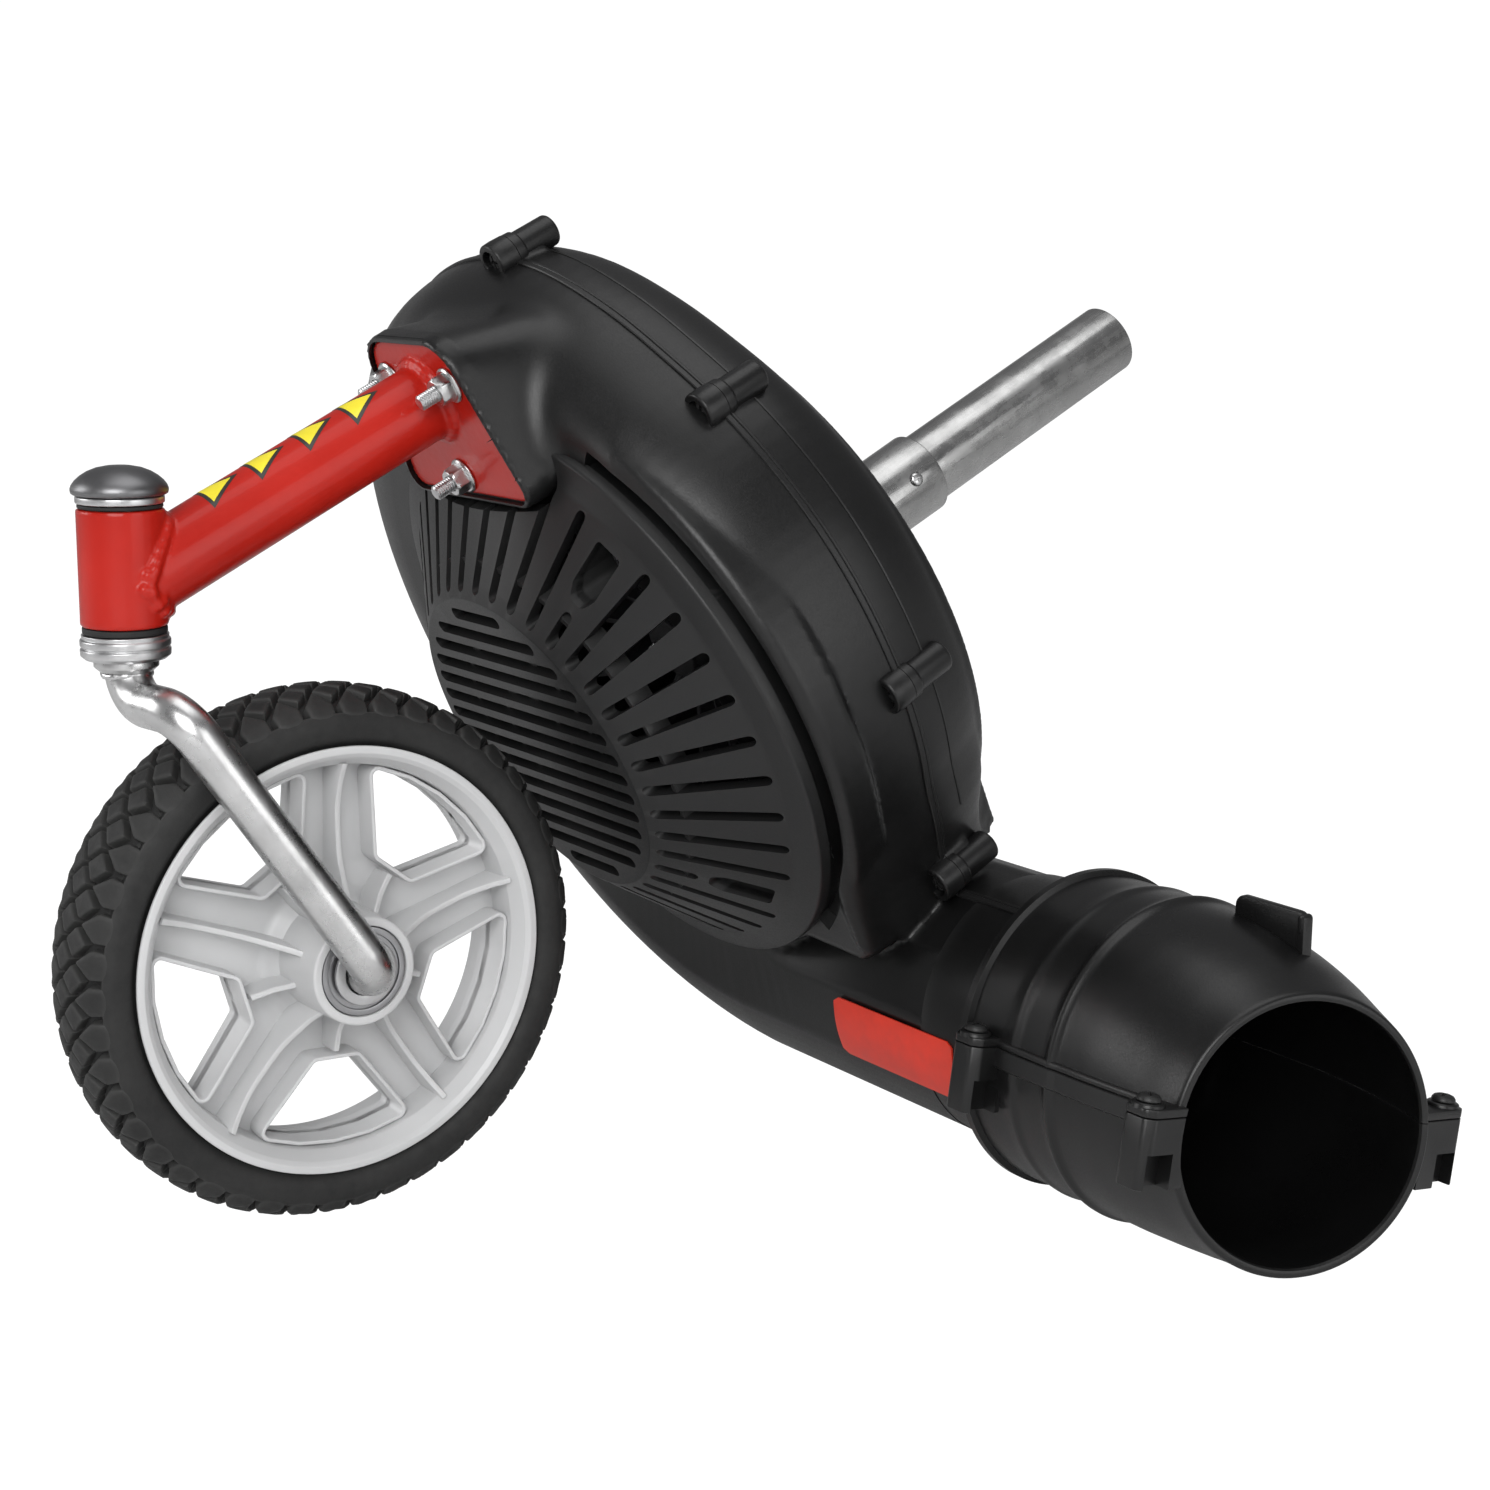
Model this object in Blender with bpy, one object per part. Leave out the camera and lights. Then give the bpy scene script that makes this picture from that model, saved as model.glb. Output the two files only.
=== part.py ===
# Walk-behind leaf blower head: caster wheel, neck weldment, two-piece volute,
# slotted intake grille, radial impeller, drive tube and a turning outlet nozzle.
# Lengths below are millimetres; the finished meshes are scaled to metres.
# World: X to the outlet side, -Y forward, +Z up, ground at Z = 0.
# The fan frame is the world frame tilted back about X and moved to the fan centre:
# local x = X, local y = along the fan axis towards the drive tube, local z = in-plane up.
import bpy
import bmesh
import math
from mathutils import Matrix, Vector

# ---------------------------------------------------------------- driving sizes
WHEEL_D = 203.2          # 8 in pneumatic-look caster wheel
TYRE_W = 44.0
RIM_R = 81.6
WHEEL_Y = -170.0
HEAD_Y = -242.0          # caster (steering) axis, trail = 72
HEAD_R = 14.5
HEAD_Z0, HEAD_Z1 = 231.0, 272.0
ROD_R = 8.0              # 16 mm fork rod
HUB_X0, HUB_X1 = -24.0, 36.0
FAN_Z = 209.0
TILT = 27.2              # fan axis rises towards the drive tube
NECK_V = 141.5           # neck axis height above the fan axis, in the fan frame
NECK_R = 14.8
PLATE_A0, PLATE_A1 = -63.0, -60.0
WALL = 3.0
DRUM_R = 126.0
DRUM_A0, DRUM_A1 = -43.0, 38.0
DUCT_R = 53.0
DUCT_V = -155.0
DUCT_END = 176.0
GRILLE_R = 124.0
PANEL_A = -85.0
PANEL_R = 66.0
SLOTS = 39
SLOT_PHASE = 2.0
TUBE_R, TUBE_BORE = 15.5, 14.0
TUBE_A0, TUBE_A1 = 50.0, 250.0
SHAFT_R = 4.0
IMP_R = 112.0
NOZ_X0 = 160.0
SEAM_TILT = 8.0          # nozzle seam plane, front edge higher
MOUTH = (282.0, 60.6, 66.6)
MOUTH_R = 50.0
NOZ_WALL = 3.2

for o in list(bpy.data.objects):
    bpy.data.objects.remove(o, do_unlink=True)
COLL = bpy.context.scene.collection

TH = math.radians(TILT)
FAN = Matrix.Translation((0, 0, FAN_Z)) @ Matrix.Rotation(TH, 4, 'X')
ID = Matrix.Identity(4)
DUCT_C = FAN @ Vector((0, 0, DUCT_V))        # duct axis passes here, along X


# ---------------------------------------------------------------- mesh helpers
def new_obj(name, verts, faces):
    me = bpy.data.meshes.new(name)
    me.from_pydata([tuple(v) for v in verts], [], faces)
    bm = bmesh.new()
    bm.from_mesh(me)
    bmesh.ops.recalc_face_normals(bm, faces=bm.faces)
    bm.to_mesh(me)
    bm.free()
    ob = bpy.data.objects.new(name, me)
    COLL.objects.link(ob)
    return ob


def lathe(name, prof, n, mat=ID, axis='Z', phase=0.0):
    """Revolve a closed (r, h) outline about the local axis. Points with r = 0 are poles."""
    verts, rows = [], []
    for r, h in prof:
        if r < 1e-9:
            verts.append(Vector((0, 0, h)))
            rows.append([len(verts) - 1] * n)
        else:
            row = []
            for i in range(n):
                t = 2 * math.pi * i / n + phase
                verts.append(Vector((r * math.cos(t), r * math.sin(t), h)))
                row.append(len(verts) - 1)
            rows.append(row)
    faces = []
    m = len(rows)
    for k in range(m):
        a, b = rows[k], rows[(k + 1) % m]
        if prof[k][0] < 1e-9 and prof[(k + 1) % m][0] < 1e-9:
            continue
        for i in range(n):
            j = (i + 1) % n
            f = []
            for q in (a[i], a[j], b[j], b[i]):
                if q not in f:
                    f.append(q)
            if len(f) >= 3:
                faces.append(f)
    if axis == 'X':
        R = Matrix(((0, 0, 1, 0), (1, 0, 0, 0), (0, 1, 0, 0), (0, 0, 0, 1)))
    elif axis == 'Y':
        R = Matrix(((1, 0, 0, 0), (0, 0, 1, 0), (0, -1, 0, 0), (0, 0, 0, 1)))
    else:
        R = ID
    verts = [mat @ (R @ v) for v in verts]
    return new_obj(name, verts, faces)


def cyl(name, r, h0, h1, n, mat=ID, axis='Z', phase=0.0):
    return lathe(name, [(0, h0), (r, h0), (r, h1), (0, h1)], n, mat, axis, phase)


def ring(name, r0, r1, h0, h1, n, mat=ID, axis='Z'):
    return lathe(name, [(r0, h0), (r1, h0), (r1, h1), (r0, h1)], n, mat, axis)


def prism(name, poly, h0, h1, mat=ID, plane='XZ'):
    """Extrude an outline. XZ: outline in local x,z and extruded along y. XY: along z. YZ: along x."""
    n = len(poly)
    verts = []
    for h in (h0, h1):
        for a, b in poly:
            if plane == 'XZ':
                v = Vector((a, h, b))
            elif plane == 'XY':
                v = Vector((a, b, h))
            else:
                v = Vector((h, a, b))
            verts.append(mat @ v)
    faces = [list(range(n)), list(range(n, 2 * n))]
    for i in range(n):
        j = (i + 1) % n
        faces.append([i, j, n + j, n + i])
    return new_obj(name, verts, faces)


def loft(name, secs, mat=ID):
    """Closed body through sections of equal point count, flat caps at both ends."""
    n = len(secs[0])
    verts = [mat @ Vector(p) for s in secs for p in s]
    faces = [list(range(n)), list(range((len(secs) - 1) * n, len(secs) * n))]
    for k in range(len(secs) - 1):
        for i in range(n):
            j = (i + 1) % n
            faces.append([k * n + i, k * n + j, (k + 1) * n + j, (k + 1) * n + i])
    return new_obj(name, verts, faces)


def sweep(name, pts, r, n):
    """Round rod along a polyline, minimal-twist frames."""
    pts = [Vector(p) for p in pts]
    tang = []
    for i in range(len(pts)):
        if i == 0:
            t = pts[1] - pts[0]
        elif i == len(pts) - 1:
            t = pts[-1] - pts[-2]
        else:
            t = (pts[i + 1] - pts[i]).normalized() + (pts[i] - pts[i - 1]).normalized()
        tang.append(t.normalized())
    u = tang[0].orthogonal().normalized()
    secs = []
    for i, p in enumerate(pts):
        t = tang[i]
        u = (u - t * u.dot(t)).normalized()
        w = t.cross(u)
        secs.append([p + (u * math.cos(a) + w * math.sin(a)) * r
                     for a in [2 * math.pi * k / n for k in range(n)]])
    return loft(name, secs)


def combine(ob, other, op, keep=False):
    m = ob.modifiers.new('b', 'BOOLEAN')
    m.operation = op
    m.solver = 'EXACT'
    m.object = other
    dg = bpy.context.evaluated_depsgraph_get()
    me = bpy.data.meshes.new_from_object(ob.evaluated_get(dg))
    ob.modifiers.remove(m)
    old = ob.data
    ob.data = me
    bpy.data.meshes.remove(old)
    if not keep:
        bpy.data.objects.remove(other, do_unlink=True)
    return ob


def add(ob, other, keep=False):
    return combine(ob, other, 'UNION', keep)


def cut(ob, other, keep=False):
    return combine(ob, other, 'DIFFERENCE', keep)


def join(name, obs):
    """Several closed bodies that don't touch, as one cutter."""
    verts, faces = [], []
    for o in obs:
        k = len(verts)
        verts += [v.co.copy() for v in o.data.vertices]
        faces += [[k + i for i in p.vertices] for p in o.data.polygons]
        bpy.data.objects.remove(o, do_unlink=True)
    return new_obj(name, verts, faces)


MATS = {}


def material(name, rgb, metallic, rough):
    if name not in MATS:
        m = bpy.data.materials.new(name)
        m.use_nodes = True
        b = m.node_tree.nodes['Principled BSDF']
        b.inputs['Base Color'].default_value = (rgb[0], rgb[1], rgb[2], 1)
        b.inputs['Metallic'].default_value = metallic
        b.inputs['Roughness'].default_value = rough
        MATS[name] = m
    return MATS[name]


LOOK = {
    'black': ((0.022, 0.022, 0.024), 0.0, 0.42),
    'grille': ((0.018, 0.018, 0.02), 0.0, 0.5),
    'red': ((0.55, 0.035, 0.02), 0.0, 0.3),
    'tyre': ((0.02, 0.02, 0.02), 0.0, 0.75),
    'rim': ((0.62, 0.63, 0.65), 0.0, 0.4),
    'zinc': ((0.7, 0.71, 0.73), 1.0, 0.25),
    'steel': ((0.55, 0.56, 0.58), 1.0, 0.35),
    'rubber': ((0.03, 0.03, 0.03), 0.0, 0.8),
    'label': ((0.7, 0.06, 0.03), 0.0, 0.35),
    'nylon': ((0.05, 0.05, 0.055), 0.0, 0.55),
    'alu': ((0.6, 0.61, 0.63), 1.0, 0.45),
}


def finish(ob, name, look, origin=(0, 0, 0), sharp=35.0, tidy=True):
    """Weld, tidy flats, scale to metres, put the origin where the body turns."""
    bm = bmesh.new()
    bm.from_mesh(ob.data)
    bmesh.ops.remove_doubles(bm, verts=bm.verts, dist=1e-4)
    if tidy:
        bmesh.ops.dissolve_limit(bm, angle_limit=math.radians(0.3), verts=bm.verts, edges=bm.edges)
    bmesh.ops.dissolve_degenerate(bm, dist=1e-5, edges=bm.edges)
    bmesh.ops.triangulate(bm, faces=bm.faces)
    bmesh.ops.recalc_face_normals(bm, faces=bm.faces)
    bm.to_mesh(ob.data)
    bm.free()
    o = Vector(origin)
    ob.data.transform(Matrix.Translation(-o))
    ob.data.transform(Matrix.Scale(0.001, 4))
    ob.location = (o - FOOT) * 0.001
    ob.name = name
    ob.data.name = name
    ob.data.materials.clear()
    rgb, me, ro = LOOK[look]
    ob.data.materials.append(material('m_' + name, rgb, me, ro))
    ob.data.shade_smooth()
    ob.data.set_sharp_from_angle(angle=math.radians(sharp))
    return ob


WHEEL_O = (0, WHEEL_Y, WHEEL_D / 2)
HEAD_O = (0, HEAD_Y, HEAD_Z0)
FAN_O = (0, 0, FAN_Z)
NOZ_O = (NOZ_X0, DUCT_C.y, DUCT_C.z)
WM = Matrix.Translation(WHEEL_O)
HM = Matrix.Translation((0, HEAD_Y, 0))
FOOT = Vector((52.09, -21.08, 0.0))         # middle of the footprint: the finished part's origin

SPOKE_PHASE = math.radians(34.0)            # turn of the first rim window from straight up

# ================================================================ caster wheel
R = WHEEL_D / 2
half = TYRE_W / 2
side = [(77.0, 16.2), (82.0, 20.4), (88.0, 22.0), (95.0, 20.4), (99.6, 15.2), (R, 8.0)]
prof = [(r, x) for r, x in side] + [(r, -x) for r, x in reversed(side)]
ob = lathe('tyre', prof, 36, WM, 'X')
finish(ob, 'tyre', 'tyre', WHEEL_O)

# rim: hub barrel, coned five-spoke web, outer barrel with a lip each side
rim_prof = [(16.3, HUB_X0 + 9), (17.2, HUB_X0 + 8.6), (17.2, HUB_X0), (20.5, HUB_X0), (21.5, 2.0), (72.0, 1.0),
            (72.8, -16.0), (78.0, -21.6), (81.4, -21.6), (81.4, -20.6), (75.8, -16.0), (75.8, 16.0),
            (81.4, 20.6), (81.4, 21.6), (78.0, 21.6), (72.8, 16.0), (72.0, 5.0),
            (24.0, 6.0), (21.4, 9.0), (20.6, HUB_X1), (17.2, HUB_X1), (17.2, HUB_X1 - 8.6), (16.3, HUB_X1 - 9), (14.0, HUB_X1 - 9),
            (14.0, HUB_X0 + 9)]
rim = lathe('rim', rim_prof, 36, WM, 'X')
win = []
for k in range(5):
    M = WM @ Matrix.Rotation(2 * math.pi * k / 5 + SPOKE_PHASE, 4, 'X')
    inner = [(-7, 37.5), (-12.5, 43.5), (-29.5, 57.5), (-26.5, 64), (-14, 68.2), (0, 69.5), (14, 68.2), (26.5, 64),
             (29.5, 57.5), (12.5, 43.5), (7, 37.5)]
    wide = [(-8.2, 35.4), (-14.3, 42.4), (-32.2, 57.2), (-28.2, 65.8), (-14.6, 70.3), (0, 71.6), (14.6, 70.3),
            (28.2, 65.8), (32.2, 57.2), (14.3, 42.4), (8.2, 35.4)]
    add(rim, prism('wall', wide, -5.0, 12.6, M, 'YZ'))
    win.append(prism('w', inner, -12, 30, M, 'YZ'))
cut(rim, join('wins', win))
spokes = []
for k in range(5):
    M = WM @ Matrix.Rotation(2 * math.pi * (k + 0.5) / 5 + SPOKE_PHASE, 4, 'X')
    secs = [[(2.0, -1.3, r), (x, -1.3, r), (x, 1.3, r), (2.0, 1.3, r)]
            for r, x in ((20.2, 26.0), (30.0, 19.0), (41.0, 13.5), (56.0, 12.0), (67.0, 14.5), (73.7, 17.0))]
    spokes.append(loft('s', secs, M))
    M = WM @ Matrix.Rotation(2 * math.pi * k / 5 + SPOKE_PHASE, 4, 'X')
    secs = [[(2.0, -1.1, r), (x, -1.1, r), (x, 1.1, r), (2.0, 1.1, r)] for r, x in ((20.2, 20.0), (36.6, 13.6))]
    spokes.append(loft('s', secs, M))
for s in spokes:
    add(rim, s)
finish(rim, 'wheel_rim', 'rim', WHEEL_O)

for nm, x0 in (('wheel_bearing_near', HUB_X1 - 8.6), ('wheel_bearing_far', HUB_X0 + 0.4)):
    ob = lathe(nm, [(8.4, x0), (10.8, x0), (11.2, x0 + 0.7), (14.2, x0 + 0.7), (14.6, x0), (16.8, x0), (16.8, x0 + 8),
                    (8.4, x0 + 8)], 22, WM, 'X')
    finish(ob, nm, 'steel', WHEEL_O)
ob = ring('wheel_spacer', 8.4, 11.0, HUB_X0 + 9.0, HUB_X1 - 9.2, 18, WM, 'X')
finish(ob, 'wheel_spacer', 'steel', WHEEL_O)
ob = ring('axle_washer_near', 8.4, 12.5, HUB_X1 + 0.1, HUB_X1 + 1.7, 20, WM, 'X')
finish(ob, 'axle_washer_near', 'zinc', WHEEL_O)
ob = ring('axle_washer_far', 8.4, 12.5, HUB_X0 - 1.9, HUB_X0 - 0.3, 20, WM, 'X')
finish(ob, 'axle_washer_far', 'zinc', WHEEL_O)
ob = lathe('axle_nut', [(6.3, HUB_X0 - 8.2), (9.6, HUB_X0 - 8.2), (11.0, HUB_X0 - 7.2), (11.0, HUB_X0 - 2.2),
                        (6.3, HUB_X0 - 2.2)], 6, WM, 'X')
bore = cyl('b', 6.6, HUB_X0 - 12, HUB_X0, 14, WM, 'X')
cut(ob, bore)
finish(ob, 'axle_nut', 'zinc', WHEEL_O)

# ================================================================ fork rod
WZ = WHEEL_D / 2


def filleted(corners, segs):
    """Polyline through corner points (x, y, z, fillet radius), arcs in segs steps."""
    P = [Vector(c[:3]) for c in corners]
    out = [P[0]]
    for i in range(1, len(P) - 1):
        u = (P[i - 1] - P[i]).normalized()
        v = (P[i + 1] - P[i]).normalized()
        ang = math.pi - u.angle(v)
        r = corners[i][3]
        tl = r * math.tan(ang / 2)
        c = P[i] + (u + v).normalized() * (r / math.cos(ang / 2))
        s0 = P[i] + u * tl - c
        s1 = P[i] + v * tl - c
        for k in range(segs + 1):
            t = k / segs
            w = (s0 * math.sin((1 - t) * ang) + s1 * math.sin(t * ang)) / math.sin(ang)
            out.append(c + w)
    out.append(P[-1])
    return out


pts = filleted([(0, HEAD_Y, 281.0, 0), (0, HEAD_Y, 204.0, 14.0), (34.0, HEAD_Y + 5.5, 204.0, 14.0),
                (51.5, WHEEL_Y, WZ, 12.0), (HUB_X0 - 0.2, WHEEL_Y, WZ, 0)], 5)
fork = sweep('fork', pts, ROD_R, 14)
tip = cyl('tip', 6.0, HUB_X0 - 10.5, HUB_X0 + 2.0, 14, WM, 'X')
add(fork, tip)
collar = lathe('fc', [(0, 214.9), (9.6, 214.9), (11.4, 216.4), (11.4, 219.0), (0, 219.0)], 20, HM)
add(fork, collar)
tipz = cyl('tz', 5.0, 270, 284.0, 14, HM)
add(fork, tipz)
finish(fork, 'fork', 'zinc', HEAD_O)

# head bearings, seals, cap
ob = lathe('lower_race', [(8.4, 219.3), (14.6, 219.3), (15.6, 220.4), (15.6, 223.2), (14.7, 223.7), (15.6, 224.2),
                          (15.6, 227.4), (14.9, 228.1), (8.4, 228.1)], 26, HM)
finish(ob, 'lower_race', 'zinc', HEAD_O)
ob = ring('lower_seal', 12.2, 14.9, 228.4, 230.7, 24, HM)
finish(ob, 'lower_seal', 'rubber', HEAD_O)
ob = ring('upper_seal', 12.2, 14.9, HEAD_Z1 + 0.3, 273.6, 24, HM)
finish(ob, 'upper_seal', 'rubber', HEAD_O)
ob = ring('upper_ring', 8.4, 15.6, 273.9, 276.5, 26, HM)
finish(ob, 'upper_ring', 'zinc', HEAD_O)
for nm, z0, z1 in (('head_bush_lower', HEAD_Z0 + 0.4, HEAD_Z0 + 12), ('head_bush_upper', HEAD_Z1 - 12, HEAD_Z1 - 0.4)):
    ob = ring(nm, 8.4, 11.2, z0, z1, 20, HM)
    finish(ob, nm, 'nylon', HEAD_O)
ob = lathe('stem_nut', [(5.3, 281.4), (8.9, 281.4), (8.9, 283.6), (5.3, 283.6)], 6, HM)
b = cyl('b', 5.4, 278, 290, 14, HM)
cut(ob, b)
finish(ob, 'stem_nut', 'zinc', HEAD_O)
ob = lathe('head_cap', [(0, 284.3), (9.8, 284.3), (11.2, 282.6), (11.2, 276.9), (16.4, 276.9),
                        (16.4, 279.6), (15.0, 282.4), (10.0, 285.4), (0, 286.9)], 26, HM)
finish(ob, 'head_cap', 'zinc', HEAD_O)

# ================================================================ neck weldment
frame = cyl('f', HEAD_R, HEAD_Z0, HEAD_Z1, 28, HM)
nk0 = -199.5
neck = cyl('n', NECK_R, nk0, PLATE_A0 + 0.5, 28, FAN @ Matrix.Translation((0, 0, NECK_V)), 'Y')
add(frame, neck)


def hull(circles, seg):
    """Convex outline round a set of circles (x, z, r)."""
    P = []
    for cx, cz, r in circles:
        for k in range(seg):
            a = 2 * math.pi * k / seg
            P.append((cx + r * math.cos(a), cz + r * math.sin(a)))
    P.sort()

    def turn(o, a, b):
        return (a[0] - o[0]) * (b[1] - o[1]) - (a[1] - o[1]) * (b[0] - o[0])
    lo, up = [], []
    for p in P:
        while len(lo) >= 2 and turn(lo[-2], lo[-1], p) <= 1e-6:
            lo.pop()
        lo.append(p)
    for p in reversed(P):
        while len(up) >= 2 and turn(up[-2], up[-1], p) <= 1e-6:
            up.pop()
        up.append(p)
    return lo[:-1] + up[:-1]


def plate_outline(grow):
    return hull([(-17, 150, 15 + grow), (17, 150, 15 + grow), (-37, 107.0, 6 + grow), (37, 107.0, 6 + grow)], 16)


plate = prism('p', plate_outline(0), PLATE_A0, PLATE_A1, FAN)
add(frame, plate)
bore = cyl('b', 11.5, HEAD_Z0 - 5, HEAD_Z1 + 5, 24, HM)
cut(frame, bore)
nbore = cyl('nb', 12.3, nk0 + 17.5, PLATE_A1 + 5, 24, FAN @ Matrix.Translation((0, 0, NECK_V)), 'Y')
cut(frame, nbore)
BOLTS = [(-23.0, 149.0), (23.0, 149.0), (0.0, 109.2)]
for bx, bz in BOLTS:
    cut(frame, cyl('h', 3.3, PLATE_A0 - 3, PLATE_A1 + 3, 12, FAN @ Matrix.Translation((bx, 0, bz)), 'Y'))
finish(frame, 'neck_frame', 'red')

for i, (bx, bz) in enumerate(BOLTS):
    M = FAN @ Matrix.Translation((bx, 0, bz))
    ob = lathe('stud', [(0, -77.5), (2.4, -77.5), (3.0, -76.7), (3.0, -44.6), (0, -44.6)], 12, M, 'Y')
    finish(ob, 'flange_stud_%d' % (i + 1), 'zinc')
    nut = lathe('nut', [(0, -70.0), (5.0, -70.0), (5.75, -69.3), (5.75, -64.5), (0, -64.5)], 6, M, 'Y')
    fl = lathe('fl', [(0, -64.9), (5.9, -64.9), (7.0, -64.1), (7.0, -63.3), (0, -63.3)], 14, M, 'Y')
    add(nut, fl)
    cut(nut, cyl('b', 3.3, -75, -60, 12, M, 'Y'))
    finish(nut, 'flange_nut_%d' % (i + 1), 'zinc')


# ================================================================ blower housing
def interp(x, xs, ys):
    if x <= xs[0]:
        return ys[0]
    for i in range(1, len(xs)):
        if x <= xs[i]:
            t = (x - xs[i - 1]) / (xs[i] - xs[i - 1])
            t = t * t * (3 - 2 * t) * 0.35 + t * 0.65
            return ys[i - 1] + (ys[i] - ys[i - 1]) * t
    return ys[-1]


PHI = [-36, 0, 30, 60, 75, 90, 105, 120, 150, 180, 210, 240, 270]
ROUT = [131.5, 133.5, 137.5, 144.5, 152, 162, 170, 177, 186, 193, 199, 204, 208]
RSEM = [11, 13, 17, 24, 29, 33, 36, 38, 41, 44, 47, 50, 53]
DEPF = [42.6, 42.6, 42.6, 42.6, 42.6, 42.6, 42.6, 42.6, 42.6, 43.5, 46, 50, 53]
DEPR = [37.6, 37.6, 37.6, 37.6, 37.6, 37.6, 37.6, 37.6, 38, 40, 44, 49, 53]


def section(rout, rs, df, dr, off, flatf, flatr, nq):
    """Half-open outline (r, a): inner front corner, over the outer wall, to the inner rear corner."""
    re = rout - rs
    rs, df, dr = rs - off, df - off, dr - off
    pts = [(104.0, -(flatf - off)), (re - rs * 0.62, -max(df * 0.785, flatf - off))]
    for k in range(nq + 1):
        t = math.pi / 2 * k / nq
        pts.append((re + rs * math.sin(t), -df * math.cos(t)))
    for k in range(nq - 1, -1, -1):
        t = math.pi / 2 * k / nq
        pts.append((re + rs * math.sin(t), dr * math.cos(t)))
    pts += [(re - rs * 0.62, max(dr * 0.785, flatr - off)), (104.0, flatr - off)]
    return pts


def duct_section(r, nq):
    """Same point count as section(), a full circle about (DUCT_V) written as (r, a)."""
    re = -DUCT_V
    pts = []
    for t in (-60, -30):
        a = math.radians(t)
        pts.append((re + r * math.sin(a), -r * math.cos(a)))
    for k in range(nq + 1):
        a = math.pi / 2 * k / nq
        pts.append((re + r * math.sin(a), -r * math.cos(a)))
    for k in range(nq - 1, -1, -1):
        a = math.pi / 2 * k / nq
        pts.append((re + r * math.sin(a), r * math.cos(a)))
    for t in (-30, -60):
        a = math.radians(t)
        pts.append((re + r * math.sin(a), r * math.cos(a)))
    # crown of the circle, so the outline closes round
    return pts


def channel(name, off, step, nq, xs):
    """xs: (x, duct radius) stations of the straight part."""
    secs = []
    ph = -36.0
    stations = []
    while ph < 269.9:
        stations.append(ph)
        ph += step
    stations.append(270.0)
    for p in stations:
        ro, rs = interp(p, PHI, ROUT), interp(p, PHI, RSEM)
        df, dr = interp(p, PHI, DEPF), interp(p, PHI, DEPR)
        a = math.radians(p)
        sec = section(ro, rs, df, dr, off, 42.6, 37.6, nq)
        crown = ((104.0), 0.0)
        secs.append([(r * math.cos(a), y, r * math.sin(a)) for r, y in sec] +
                    [(crown[0] * math.cos(a), crown[1], crown[0] * math.sin(a))])
    end = section(208, 53, 53, 53, off, 42.6, 37.6, nq) + [(104.0, 0.0)]
    for x, r in xs:
        w = min(1.0, x / 45.0)
        full = duct_section(r, nq) + [(-DUCT_V - r, 0.0)]
        secs.append([(x, y0 * (1 - w) + y1 * w, -(r0 * (1 - w) + r1 * w)) for (r0, y0), (r1, y1) in zip(end, full)])
    return loft(name, secs, FAN)


NQ = 5
outer = channel('outer', 0.0, 17.0, NQ,
                [(20, DUCT_R), (45, DUCT_R), (DUCT_END - 10, DUCT_R), (DUCT_END - 9, DUCT_R + 1.5),
                 (DUCT_END - 6, DUCT_R + 1.5), (DUCT_END - 5, DUCT_R), (DUCT_END, DUCT_R)])
drum = cyl('drum', DRUM_R, DRUM_A0, DRUM_A1, 44, FAN, 'Y')
add(outer, drum)
wedge = prism('wedge', [(96, -20), (133.2, -18), (129.5, -45), (120.5, -70), (113.5, -86), (110.5, -107), (98, -112), (58, -110),
                        (70, -60)], -38.0, 33.0, FAN)
add(outer, wedge)
inner = channel('inner', WALL, 17.0, NQ,
                [(20, DUCT_R - WALL), (45, DUCT_R - WALL), (DUCT_END + 8, DUCT_R - WALL)])
add(inner, cyl('drum2', DRUM_R - WALL, DRUM_A0 + WALL, DRUM_A1 - WALL, 40, FAN, 'Y'))

# hood over the neck plate
hood = loft('hood', [[(x, a, z) for x, z in plate_outline(g)] for a, g in ((PLATE_A0 - 1.6, 2.3), (-45.0, 4.3), (-20.0, 7.0))], FAN)
add(outer, hood)

# screw bosses on the parting line
BOSS_A0, BOSS_A1 = -9.0, 21.0
SCREWS = []
for ph, extra in ((95.0, 5.0), (52.0, -1.0), (-1.0, -1.0), (160.0, -1.0), (263.0, 2.0)):
    rr = interp(ph, PHI, ROUT) + extra
    SCREWS.append((rr * math.cos(math.radians(ph)), rr * math.sin(math.radians(ph))))
SCREWS.append((114.0, -93.5))
for x in (28.0, 86.0):
    SCREWS.append((x, DUCT_V - DUCT_R - 4.5))
for sx, sz in SCREWS:
    M = FAN @ Matrix.Translation((sx, 0, sz))
    add(outer, cyl('boss', 7.5, BOSS_A0, BOSS_A1, 16, M, 'Y'))
    cut(inner, cyl('boss', 7.5, BOSS_A0, BOSS_A1, 16, M, 'Y'))
cut(outer, inner)
cut(outer, cyl('eye', 76.0, DRUM_A0 - 5, DRUM_A0 + WALL + 5, 36, FAN, 'Y'))
cut(outer, cyl('rear_eye', 27.0, DRUM_A1 - WALL - 5, DRUM_A1 + 5, 26, FAN, 'Y'))
cut(outer, prism('pocket', plate_outline(0.5), PLATE_A0 - 10, PLATE_A1 + 0.3, FAN))
holes = []
for bx, bz in BOLTS:
    holes.append(cyl('h', 3.4, -62.0, -44.2, 12, FAN @ Matrix.Translation((bx, 0, bz)), 'Y'))
cut(outer, join('holes', holes))
GS = []
for k in (5, -5, 15, -15):
    a = math.radians(SLOT_PHASE + 360.0 / SLOTS * k)
    GS.append((97.5 * math.cos(a), 97.5 * math.sin(a)))
CS = [(36.0 * math.cos(math.radians(a)), 36.0 * math.sin(math.radians(a))) for a in (30, 150, 270)]
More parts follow.
